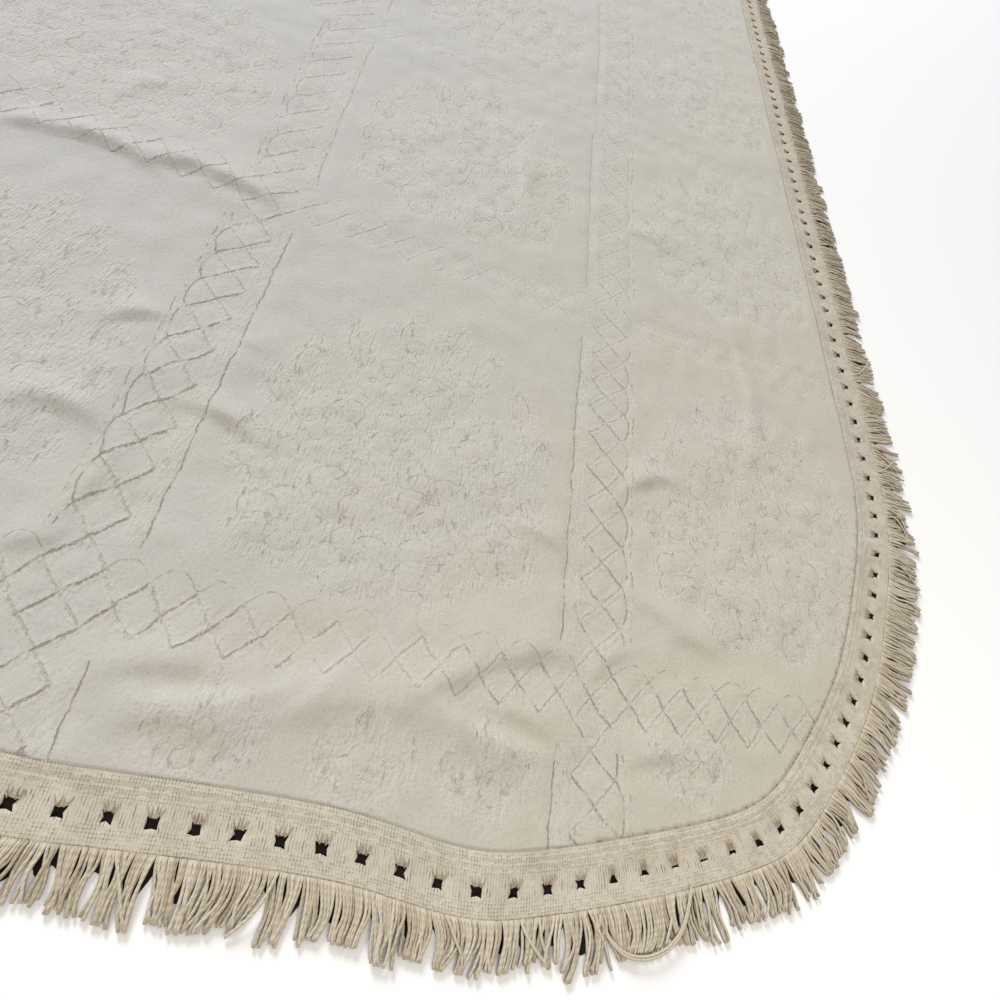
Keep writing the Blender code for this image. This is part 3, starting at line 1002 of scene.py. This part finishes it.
def woven_heading():
    """Dense basket-woven bands either side of a row of loose cross yarns."""
    strip = Recipe("heading_cotton_look", 0.90, 0.10)
    place = strip.place()
    station, reach, stain = strip.field("strip")
    wobble = strip.math("MULTIPLY", strip.noise(place, 130.0, 2.0), 5.0)
    full_turn = 2 * math.pi
    yarns = strip.math("MULTIPLY_ADD", station, full_turn * YARNS_PER_PITCH, wobble)
    across = strip.math("SINE", yarns)
    runs = strip.math("SINE", strip.math("MULTIPLY_ADD", reach, full_turn / RIB_SPACING, wobble))
    uneven = strip.noise(place, 140.0, 3.0, 0.7)
    loose = strip.product(strip.step(reach, 0.021, 0.025), strip.step(reach, 0.042, 0.046, 1.0, 0.0))
    dense = strip.math("SUBTRACT", 1.0, loose)
    # The gaps between ribs and between yarns, and the pits where they meet, sink in the bump and are
    # painted with shade
    rib_gap = strip.product(strip.step(runs, 0.30, 0.95), dense,
                            strip.step(uneven, 0.40, 0.60, 0.1, 1.0))
    yarn_gap = strip.product(strip.step(across, 0.30, 0.95),
                             strip.step(uneven, 0.40, 0.60, 0.2, 1.0))
    pits = strip.product(rib_gap, yarn_gap)

    # Slits between the loose cross yarns and a crown at each hole, both painted dark as shade seen
    # through the thin weave, and soft ribs
    stretched = strip.vector(strip.math("MULTIPLY", station, 6.0),
                             strip.math("MULTIPLY", reach, 60.0), 0.0)
    streaky = strip.noise(stretched, 1.0, 2.0, 0.6)
    slit = strip.product(strip.step(across, 0.60, 0.97), strip.step(streaky, 0.52, 0.70), loose)
    off_hole = strip.math("ABSOLUTE", strip.math("SUBTRACT", strip.math("FRACT", station), 0.5))
    crown = strip.product(strip.step(off_hole, 0.05, 0.15, 1.0, 0.0),
                          strip.step(streaky, 0.40, 0.60), strip.step(reach, 0.023, 0.028),
                          strip.step(reach, 0.031, 0.034, 1.0, 0.0))
    folds = strip.math("MULTIPLY_ADD", reach, full_turn / (2 * RIB_SPACING), wobble)
    folds = strip.math("SINE", folds)
    folds = strip.product(folds, strip.step(reach, 0.014, 0.019, 1.0, 0.0))

    tone = strip.step(strip.noise(place, 30.0, 3.0), 0.35, 0.75)
    colour = strip.blend(tone, HEADING_PALE, HEADING_DEEP)
    # Painted shade in the gaps, pits, slits and crowns; the stain is the cloth's own
    for mark, share, mark_colour in ((rib_gap, 0.12, SHADE_BROWN), (yarn_gap, 0.20, SHADE_BROWN),
                                     (pits, 0.42, PIT_SHADE), (slit, 0.75, SLIT_DARK),
                                     (crown, 0.30, CROWN_SHADE), (stain, 0.50, STAIN_BROWN)):
        colour = strip.blend(strip.math("MULTIPLY", mark, share), colour, mark_colour)
    height = strip.weighted((2.4, uneven), (-0.6, rib_gap), (-0.8, yarn_gap), (-1.0, slit),
                            (0.3, folds))
    return strip.finish(colour, height, HEADING_BUMP)


def plied_yarn(name, pale, deep, ply_length):
    """Soft yarn whose plies wind round it, with painted shade on its underside and sides and between
    its plies.
    """
    yarn = Recipe(name, 0.92, 0.15)
    place = yarn.place()
    around, along, tone = yarn.field("yarn")
    turns = yarn.math("MULTIPLY_ADD", along, 1 / ply_length, yarn.math("MULTIPLY", around, 2.0))
    ply = yarn.math("SINE", yarn.math("MULTIPLY", turns, 2 * math.pi))
    fuzz = yarn.noise(place, 700.0, 2.0, 0.7)
    facing_up = yarn.math("SINE", yarn.math("MULTIPLY_ADD", around, 2 * math.pi, -math.pi))
    colour = yarn.blend(tone, pale, deep)
    # Painted shade on the yarn's underside and sides, and in the grooves between its plies
    colour = yarn.blend(yarn.step(facing_up, -0.1, 0.78, 0.90, 0.0), colour, YARN_UNDERSIDE_SHADE)
    colour = yarn.blend(yarn.step(ply, -0.2, -1.0, 0.0, 0.15), colour, PLY_SHADE)
    colour = yarn.blend(yarn.step(fuzz, 0.5, 0.8, 0.0, 0.16), colour, FUZZ_BROWN)
    height = yarn.weighted((0.35, ply), (0.8, fuzz))
    return yarn.finish(colour, height, YARN_BUMP)


def plain_matt(name, colour, roughness):
    """A plain finish for what the cloth lies on."""
    material = bpy.data.materials.new(name)
    material.use_nodes = True
    shader = material.node_tree.nodes["Principled BSDF"]
    shader.inputs["Base Color"].default_value = (*colour, 1.0)
    shader.inputs["Roughness"].default_value = roughness
    shader.inputs["Specular IOR Level"].default_value = 0.1
    return material


# ---- pieces ----

# Spacing of the panel's grid: fine at the right foot, coarser to the left and the head
FINE_COLUMNS = 0.0054
FINE_ROWS = 0.0051
UNDERSIDE_KEEP = 0.10      # share of the underside's faces that its plainer shape needs
EDGE_SNAP = 0.0024         # points this near the seam are moved onto it
LINE_DIP = 0.0008          # depth of the straight lines and arcs
LINE_DIP_WIDTH = 0.004     # their half-width
HEM_STEP = 0.0009          # the head hem is turned under, so it stands higher
HEM_WIDTH = 0.030

# What the panel's finish reads at each point: attribute, and the fields in its three parts
PANEL_FIELDS = {
    "lattice": ("units_x", "units_y", "band"),
    "lines": ("groove", "arc", "open"),
    "leaves": ("leaf_a", "leaf_b", "arch"),
    "petals": ("petal_a", "petal_b", "heart"),
    "pile": ("rough", "upright", "depth"),
    "fade_and_wear": ("worn",),
}


def column_spacing(x):
    """Distance between grid lines that run along the cloth."""
    return FINE_COLUMNS + 0.0150 * np.maximum(-0.30 - x, 0.0)


def row_spacing(y):
    """Distance between grid lines that run across the cloth."""
    return FINE_ROWS + 0.0040 * np.maximum(y + 0.90, 0.0)


def outside_seam(face):
    """Whether a face of the uncut sheet lies past the seam."""
    middle = face.calc_center_median()
    return inside_seam(np.array([middle.x]), np.array([middle.y]))[0][0] < 0.0005


def make_cloth():
    """The patterned panel, closed, with its folds, creases and raised pile."""
    lines_x = graded(-HALF_WIDTH, HALF_WIDTH, column_spacing)
    lines_y = graded(FOOT_Y, HEAD_Y, row_spacing)
    piece, column, row = add_grid("bedspread_cloth", len(lines_x) - 1, len(lines_y) - 1)
    grid_x, grid_y = np.meshgrid(lines_x, lines_y)
    fields = figure(*swayed(grid_x, grid_y))
    slope_y, slope_x = np.gradient(fields["edge"], lines_y, lines_x)
    fields["upright"] = slope_x ** 2 / (slope_x ** 2 + slope_y ** 2 + 1e-9)

    # Each point is tagged with its grid place, so that its fields are found after the cut
    points = np.stack((lines_x[column], lines_y[row], np.zeros(len(column))), axis=1)
    tag = piece.data.attributes.new("grid_place", "INT", "POINT")
    tag.data.foreach_set("value", row * len(lines_x) + column)
    move_points(piece, points)
    drop_faces(piece, outside_seam)
    tag = piece.data.attributes["grid_place"]
    place = np.empty(len(piece.data.vertices), dtype=np.int32)
    tag.data.foreach_get("value", place)
    piece.data.attributes.remove(tag)
    kept = {name: field.ravel()[place] for name, field in fields.items()}

    points = points_of(piece)
    depth, way_x, way_y = inside_seam(points[:, 0], points[:, 1])
    pull = np.where(depth < EDGE_SNAP, depth, 0.0)
    points[:, 0] += way_x * pull
    points[:, 1] += way_y * pull
    depth = np.maximum(depth - pull, 0.0)
    points[:, 0], points[:, 1] = swayed(points[:, 0], points[:, 1])

    low = lift(points[:, 0], points[:, 1])
    pile = PILE * (1 - kept["short"]) * smooth(depth, -0.012, 0.008)
    dip = LINE_DIP * (bell(kept["groove"], LINE_DIP_WIDTH) + bell(kept["arc"], LINE_DIP_WIDTH))
    hem = HEM_STEP * smooth(points[:, 1], HEAD_Y - HEM_WIDTH, HEAD_Y - HEM_WIDTH + 0.003)
    points[:, 2] = low + CLOTH + pile - dip * smooth(kept["open"], -0.002, 0.002) + hem
    points[:, 2] += puckers(points[:, 0], points[:, 1]) * smooth(depth, 0.004, 0.040)
    kept["depth"] = depth
    thicken(piece, points, low)
    for name, fields in PANEL_FIELDS.items():
        keep_field(piece, name, *(np.tile(kept[field], 2) for field in fields))
    thin_underside(piece, len(points))
    finish_piece(piece, chenille(), "spread_panel")
    return piece


def thin_underside(piece, first):
    """Merge faces of the underside, whose points start at this number."""
    under = np.zeros(len(piece.data.vertices), dtype=bool)
    under[first:] = True
    start_piece()
    piece.select_set(True)
    bpy.context.view_layer.objects.active = piece
    bpy.ops.object.mode_set(mode="EDIT")
    bpy.ops.mesh.select_mode(type="VERT")
    bpy.ops.mesh.select_all(action="DESELECT")
    bpy.ops.object.mode_set(mode="OBJECT")
    piece.data.vertices.foreach_set("select", under)
    bpy.ops.object.mode_set(mode="EDIT")
    bpy.ops.mesh.select_less()
    bpy.ops.mesh.decimate(ratio=UNDERSIDE_KEEP)
    bpy.ops.object.mode_set(mode="OBJECT")


EYELET_COLUMNS = np.array((0.0, 0.10, 0.20, 0.29, 0.375, 0.50, 0.625, 0.71, 0.80, 0.90))
TUCK = 0.0035              # of the heading under the panel
HEADING_ROWS = np.array((-TUCK, 0.0, 0.004, 0.009, 0.014, 0.019, 0.0235, 0.0275, 0.0316,
                         EYELET_LINE, 0.0410, 0.045, 0.049, 0.054, 0.059, HEADING_WIDTH))
HOLE_COLUMN = 5
HOLE_ROW = 9
HOLE_CORNERS = 1.16        # a hole's corners are drawn out and its sides bowed in
HOLE_SIDES = 0.90
HOLE_JITTER = (0.018, 0.0006)  # in stations along the edge, in metres across it


def make_heading(chance):
    """The woven heading with an uneven hole at each station."""
    per_pitch = len(EYELET_COLUMNS)
    piece, column, row = add_grid("heading_strip", LAST_STATION * per_pitch, len(HEADING_ROWS) - 1)
    points = np.stack((column, row, np.zeros(len(column))), axis=1).astype(float)
    move_points(piece, points)

    def in_hole(face):
        """Whether a face of the flat strip lies in an eyelet."""
        middle = face.calc_center_median()
        return abs(middle.x % per_pitch - HOLE_COLUMN) < 1 and abs(middle.y - HOLE_ROW) < 1

    drop_faces(piece, in_hole)
    points = points_of(piece)
    column = np.round(points[:, 0]).astype(int)
    row = np.round(points[:, 1]).astype(int)
    number = np.minimum(column // per_pitch, LAST_STATION - 1)
    share = np.append(EYELET_COLUMNS, 1.0)[column - number * per_pitch]
    reach = HEADING_ROWS[row]

    off_hole = column - number * per_pitch - HOLE_COLUMN
    below = row - HOLE_ROW
    rim = (np.abs(off_hole) <= 1) & (np.abs(below) <= 1)
    corner = rim & (np.abs(off_hole) == 1) & (np.abs(below) == 1)
    wide = np.ones(LAST_STATION)
    tall = np.ones(LAST_STATION)
    for eyelet, (top_width, height) in PINCHED.items():
        wide[eyelet] = top_width
        tall[eyelet] = height
    grow = np.where(corner, HOLE_CORNERS, HOLE_SIDES)
    step_along = (share - 0.5) * grow * np.where(below < 0, wide[number], 1.0)
    step_out = (reach - EYELET_LINE) * grow * tall[number]
    jitter = chance.normal(0.0, 1.0, (len(points), 2)) * np.array(HOLE_JITTER)
    share = np.where(rim, 0.5 + step_along + jitter[:, 0], share)
    reach = np.where(rim, EYELET_LINE + step_out + jitter[:, 1], reach)

    station = number + share
    x, y = rail(station, reach)
    points[:, 0], points[:, 1] = x, y

    # It starts thin under the panel, climbs to the panel's height at the seam, and thins outwards
    low = lift(x, y) + 0.0002
    thin = 0.0008
    tucked = smooth(reach, -TUCK - 0.0001, 0.0002)
    climb = 0.0012 * (1 - smooth(reach, 0.0, 0.024))
    pucker = 0.0005 * np.sin(station * 2.1 + 3 * np.sin(station * 0.37)) * smooth(reach, 0.0, 0.03)
    ends = 0.0006 * smooth(reach, HEADING_WIDTH - 0.004, HEADING_WIDTH)
    points[:, 2] = low + thin + (HEADING_THICK + climb - thin) * tucked + pucker - ends
    thicken(piece, points, low)
    stained = bell(station - STAINED_MIDDLE, 3.5) * bell(share - 0.5, 0.16)
    stained = stained * bell(reach - 0.030, 0.010)
    keep_field(piece, "strip", *(np.tile(field, 2) for field in (station, reach, stained)))
    finish_piece(piece, woven_heading(), "fringe_heading")
    return piece


def make_eyelet_threads(chance):
    """Fine threads that fan from each hole towards the panel."""
    fan = ((-0.200, -0.070), (-0.040, -0.090), (0.050, 0.085), (0.190, 0.075))
    rings = 4
    share = np.linspace(0.0, 1.0, rings)
    eyelet = np.repeat(np.arange(LAST_STATION), len(fan))
    ends = np.tile(np.array(fan), (LAST_STATION, 1)) + chance.normal(0.0, 0.018, (len(eyelet), 2))
    squeeze = np.ones(LAST_STATION)
    for number, (top_width, _) in PINCHED.items():
        squeeze[number] = top_width
    ends = ends * squeeze[eyelet][:, None]
    station = eyelet[:, None] + 0.5 + ends[:, :1] + (ends[:, 1:] - ends[:, :1]) * share
    reach = 0.0235 + 0.0090 * share ** 0.7 + np.zeros_like(station)
    x, y = rail(station, reach)
    height = lift(x, y) + HEADING_THICK + 0.0006 + 0.0005 * np.sin(math.pi * share)
    piece = add_strands("eyelet_threads", np.stack((x, y, height), axis=2), 0.00062, 0.00055, 4,
                        chance.uniform(0.2, 1.0, len(eyelet)))
    material = plied_yarn("eyelet_thread_look", (0.58, 0.50, 0.37), (0.46, 0.37, 0.24), 0.006)
    finish_piece(piece, material, "fringe_heading")
    return piece


def make_seam_stitches(chance):
    """Lock stitches where the heading is sewn on, and along the head hem."""
    length = 0.0034
    bends = np.array((0.12, 0.50, 0.88))
    count = int(LAST_STATION * PITCH / length)
    station = (np.arange(count)[:, None] + bends) * length / PITCH
    station = np.minimum(station, LAST_STATION)
    x, y = rail(station, np.full_like(station, -0.0010))
    arch = np.array((-0.0002, 0.0004, -0.0002))
    seam = np.stack((x, y, lift(x, y) + HEADING_THICK + 0.0007 + arch), axis=2)
    hem_count = int(2 * HALF_WIDTH / length)
    hem_x = -HALF_WIDTH + (np.arange(hem_count)[:, None] + bends) * length
    hem_y = np.full_like(hem_x, HEAD_Y - 0.024)
    hem_x, hem_y = swayed(hem_x, hem_y)
    hem = np.stack((hem_x, hem_y, lift(hem_x, hem_y) + CLOTH + PILE + 0.0009 + arch), axis=2)
    paths = np.concatenate((seam, hem))
    piece = add_strands("seam_stitches", paths, 0.00045, 0.00040, 4, chance.uniform(0, 1, len(paths)))
    material = plied_yarn("seam_thread_look", (0.50, 0.44, 0.34), (0.40, 0.34, 0.24), 0.004)
    finish_piece(piece, material, "fringe_heading")
    return piece


# A clump of yarns: its stations, its lean, how far its ends gather, its share of the full
# length, and its bend. Bundles are the few yarns in it that cling together.
Clump = namedtuple("Clump", "start end lean gather share bend")
CLUMP_LENGTHS = (0.55, 1.45)
CLUMP_LEAN = 0.08
CLUMP_SHARES = (0.78, 1.0)
CLUMP_BEND = 0.05
WIDE_GATHER = (0.26, 0.42)
PLAIN_GATHER = (0.00, 0.17)
NEW_BUNDLE = 0.27          # chance that a bundle ends at a yarn
BUNDLE_TIGHT = (0.10, 0.55)
BUNDLE_LEAN = 0.07
BUNDLE_WAVE = 0.030
YARN_LEAN = 0.03
YARN_WAVE = 0.042
STRAY_SHARE = 0.06
STRAY_LEAN = 0.50


def fringe_clumps(chance):
    """Uneven clumps of yarn round the whole edge, parted at their ends."""
    clumps = []
    start = 0.0
    while start < LAST_STATION:
        end = start + chance.uniform(*CLUMP_LENGTHS)
        ahead = [parting for parting in WIDE_PARTINGS if start + 0.35 < parting < end + 0.35]
        end = min(ahead[0] if ahead else end, LAST_STATION)
        gather = chance.uniform(*(WIDE_GATHER if ahead else PLAIN_GATHER))
        clumps.append(Clump(start, end, chance.normal(0.0, CLUMP_LEAN), gather,
                            chance.uniform(*CLUMP_SHARES), chance.normal(0.0, CLUMP_BEND)))
        start = end
    return clumps


def clump_at(clumps, station):
    """The number of the clump at each station, and that clump's values."""
    starts = np.array([clump.start for clump in clumps])
    owner = np.clip(np.searchsorted(starts, station, side="right") - 1, 0, len(clumps) - 1)
    return owner, Clump(*np.array(clumps)[owner].T)


def fringe_paths(chance, clumps):
    """A path for each yarn: its clump's lean and gather, and a waviness of its own."""
    count = int(LAST_STATION * FRINGE_YARNS_PER_PITCH)
    root = (np.arange(count) + 0.5 + chance.normal(0.0, 0.12, count)) / FRINGE_YARNS_PER_PITCH
    root = np.clip(root, 0.02, LAST_STATION - 0.02)
    owner, clump = clump_at(clumps, root)
    bundle = np.cumsum(chance.uniform(0, 1, count) < NEW_BUNDLE) + owner * count
    _, bundle, size = np.unique(bundle, return_inverse=True, return_counts=True)
    bundles = len(size)
    bundle_middle = (np.bincount(bundle, root) / size)[bundle]
    tight = chance.uniform(*BUNDLE_TIGHT, bundles)[bundle]
    bundle_lean = chance.normal(0.0, BUNDLE_LEAN, bundles)[bundle]
    bundle_phase = chance.uniform(0, 6, bundles)[bundle]

    ragged = 1 - 0.10 * np.abs(chance.normal(0.0, 1.0, bundles))[bundle]
    ragged = ragged * (1 - 0.04 * np.abs(chance.normal(0.0, 1.0, count)))
    length = np.clip(FRINGE_LENGTH * clump.share * ragged, 0.5 * FRINGE_LENGTH, FRINGE_LENGTH)
    lean = clump.lean + bundle_lean + chance.normal(0.0, YARN_LEAN, count)
    wave = chance.normal(0.0, YARN_WAVE, count)
    turns = chance.uniform(1.0, 3.0, count)
    phase = chance.uniform(0, 6, count)
    stray = (chance.uniform(0, 1, count) < STRAY_SHARE) * chance.normal(0.0, STRAY_LEAN, count)
    layer = chance.uniform(0.0, 1.0, count) + 0.8 * (stray != 0)
    crimp_phase = chance.uniform(0, 6, count)
    tones = np.clip(chance.normal(0.35, 0.28, count), 0.0, 1.0)

    # From here each row is a yarn and each column a place along it
    along = np.linspace(0.0, 1.0, YARN_RINGS)[None, :]

    def upright(values):
        """One value for each yarn, as a column."""
        return values[:, None]

    gathered = upright(((clump.start + clump.end) / 2 - root) * clump.gather) * along ** 1.3
    gathered = gathered + upright((bundle_middle - root) * tight) * along ** 2
    leant = upright(lean * length / PITCH) * along
    bent = upright(clump.bend) * np.sin(math.pi * along * 1.2)
    waved = upright(wave) * np.sin(math.pi * along * upright(turns) + upright(phase))
    waved = waved + BUNDLE_WAVE * np.sin(math.pi * along * 1.9 + upright(bundle_phase))
    station = upright(root) + gathered + leant + bent + waved * along ** 0.7
    station = np.clip(station + upright(stray) * along ** 1.5, 0.0, LAST_STATION)
    inset = 0.003
    shorter = 1 - 0.06 * np.abs(leant) * along
    reach = HEADING_WIDTH - inset + upright(length + inset) * along * shorter
    x, y = rail(station, reach)

    arched = np.sin(math.pi * np.clip(along * 0.9 + 0.05, 0, 1)) ** 0.8
    crimp = 0.0003 * np.sin(along * 19 + upright(crimp_phase))
    height = 0.0014 + 0.0030 * upright(layer) * arched + crimp
    return root, np.stack((x, y, lift(x, y) + height), axis=2), tones


def make_fringe(chance, clumps, material):
    """Cut yarns round the foot and both sides, in three lengths."""
    root, paths, tones = fringe_paths(chance, clumps)
    pieces = []
    for name, first, last in (("fringe_right_side", 0, 46), ("fringe_foot", 46, 110),
                              ("fringe_left_side", 110, LAST_STATION + 1)):
        mine = (root >= first) & (root < last)
        piece = add_strands(name, paths[mine], YARN_HALF_WIDTH, YARN_HALF_HEIGHT, 6, tones[mine])
        finish_piece(piece, material, "fringe_skirt")
        pieces.append(piece)
    return pieces


# A pair of yarns pulled loose, lying over the fringe: stations and reaches outside the seam
LOOSE_ROUTE = ((68.20, 0.058), (68.45, 0.075), (68.75, 0.093), (69.15, 0.106), (69.60, 0.112),
               (70.05, 0.112), (70.45, 0.106), (70.75, 0.094), (70.95, 0.080), (71.05, 0.066))


def make_loose_yarns(material):
    """The long loop of two loose yarns."""
    route = np.array(LOOSE_ROUTE)
    fine = np.linspace(0, len(route) - 1, 40)
    stations = np.interp(fine, range(len(route)), route[:, 0])
    reaches = np.interp(fine, range(len(route)), route[:, 1])
    soft = np.ones(5) / 5
    stations = np.convolve(np.pad(stations, 2, mode="edge"), soft, mode="valid")
    reaches = np.convolve(np.pad(reaches, 2, mode="edge"), soft, mode="valid")
    paths = []
    for offset in (-0.0014, 0.0014):
        x, y = rail(stations, reaches + offset)
        height = lift(x, y) + 0.0052 + 0.0010 * np.sin(fine * 0.55)
        paths.append(np.stack((x, y, height), axis=1))
    piece = add_strands("loose_yarns", np.array(paths), 0.0015, 0.0013, 8, np.array((0.1, 0.2)))
    finish_piece(piece, material, "fringe_skirt")
    return piece


def make_stage(clumps):
    """Pale floor, and a dark sheet of card under the heading and fringe: the dark ground seen through
    the holes, and painted shade between the fringe's yarns.
    """
    start_piece()
    bpy.ops.mesh.primitive_plane_add(size=40.0, location=(0, 0, -0.0008))
    floor = bpy.context.object
    floor.name = "studio_floor"
    floor.data.materials.append(plain_matt("studio_floor_look", (0.985, 0.985, 0.985), 0.9))

    # Under each clump of fringe the card reaches furthest at the clump's middle, as painted shade
    # between the yarns
    per_pitch = 8
    card, column, row = add_grid("dark_card", LAST_STATION * per_pitch, 1)
    points = points_of(card)
    station = column / per_pitch
    _, clump = clump_at(clumps, station)
    inner = (station - clump.start) * (clump.end - station) / (clump.end - clump.start) ** 2
    inner = 4 * np.clip(inner, 0.0, 0.25)
    under = clump.share * (0.10 + 0.52 * inner ** 0.8 * (1 - 0.5 * clump.gather)) * FRINGE_LENGTH
    reach = np.where(row == 0, 0.004, HEADING_WIDTH + under)
    station = np.clip(station + (row == 1) * under * clump.lean / PITCH, 0, LAST_STATION)
    points[:, 0], points[:, 1] = rail(station, reach)
    points[:, 2] = -0.0003
    move_points(card, points)
    card.data.materials.append(plain_matt("dark_card_look", (0.020, 0.014, 0.012), 0.9))


def add_light(name, place, target, size, watts, colour):
    """A square soft light that faces its target."""
    lamp = bpy.data.lights.new(name, "AREA")
    lamp.shape = "SQUARE"
    lamp.size = size
    lamp.energy = watts
    lamp.color = colour
    holder = bpy.data.objects.new(name, lamp)
    holder.location = place
    holder.rotation_euler = (Vector(target) - Vector(place)).to_track_quat("-Z", "Y").to_euler()
    bpy.context.scene.collection.objects.link(holder)


def make_lights():
    """Low soft light from the head side, cool, and a weak warm fill from the foot."""
    add_light("window_light", (-5.0, 9.5, 4.9), (0.1, -0.6, 0.0), 4.0, 1550.0, (0.96, 0.985, 1.0))
    add_light("lamp_light", (0.4, -2.7, 1.8), (0.1, -0.8, 0.0), 1.4, 24.0, (1.0, 0.90, 0.78))
    world = bpy.data.worlds.new("studio_air")
    world.use_nodes = True
    backdrop = world.node_tree.nodes["Background"]
    backdrop.inputs["Color"].default_value = (1.0, 0.995, 0.985, 1.0)
    backdrop.inputs["Strength"].default_value = 0.47
    bpy.context.scene.world = world
    bpy.context.scene.view_settings.view_transform = "Standard"


def make_camera():
    """Over the foot, looking down the right half, held a little askew."""
    heading = math.radians(-24.82)
    down = math.radians(55.87)
    askew = math.radians(34.20)
    lens = bpy.data.cameras.new("camera")
    lens.lens = 23.71
    lens.clip_start = 0.01
    holder = bpy.data.objects.new("camera", lens)
    turn = Euler((0, 0, heading)).to_matrix() @ Euler((math.pi / 2 - down, 0, 0)).to_matrix()
    turn = turn @ Euler((0, 0, askew)).to_matrix()
    holder.rotation_euler = turn.to_euler()
    holder.location = (-0.0707, -1.2590, 0.7428)
    bpy.context.scene.collection.objects.link(holder)
    bpy.context.scene.camera = holder


def main():
    """The whole scene: camera, lights, floor, and the pieces of the bedspread."""
    make_camera()
    make_lights()
    chance = np.random.default_rng(20)
    clumps = fringe_clumps(chance)
    make_stage(clumps)
    cloth = make_cloth()
    heading = make_heading(chance)
    threads = make_eyelet_threads(chance)
    stitches = make_seam_stitches(chance)
    fringe_yarn = plied_yarn("fringe_yarn_look", (0.625, 0.56, 0.445), (0.41, 0.335, 0.225), 0.0060)
    fringe = make_fringe(chance, clumps, fringe_yarn)
    loose = make_loose_yarns(fringe_yarn)


main()
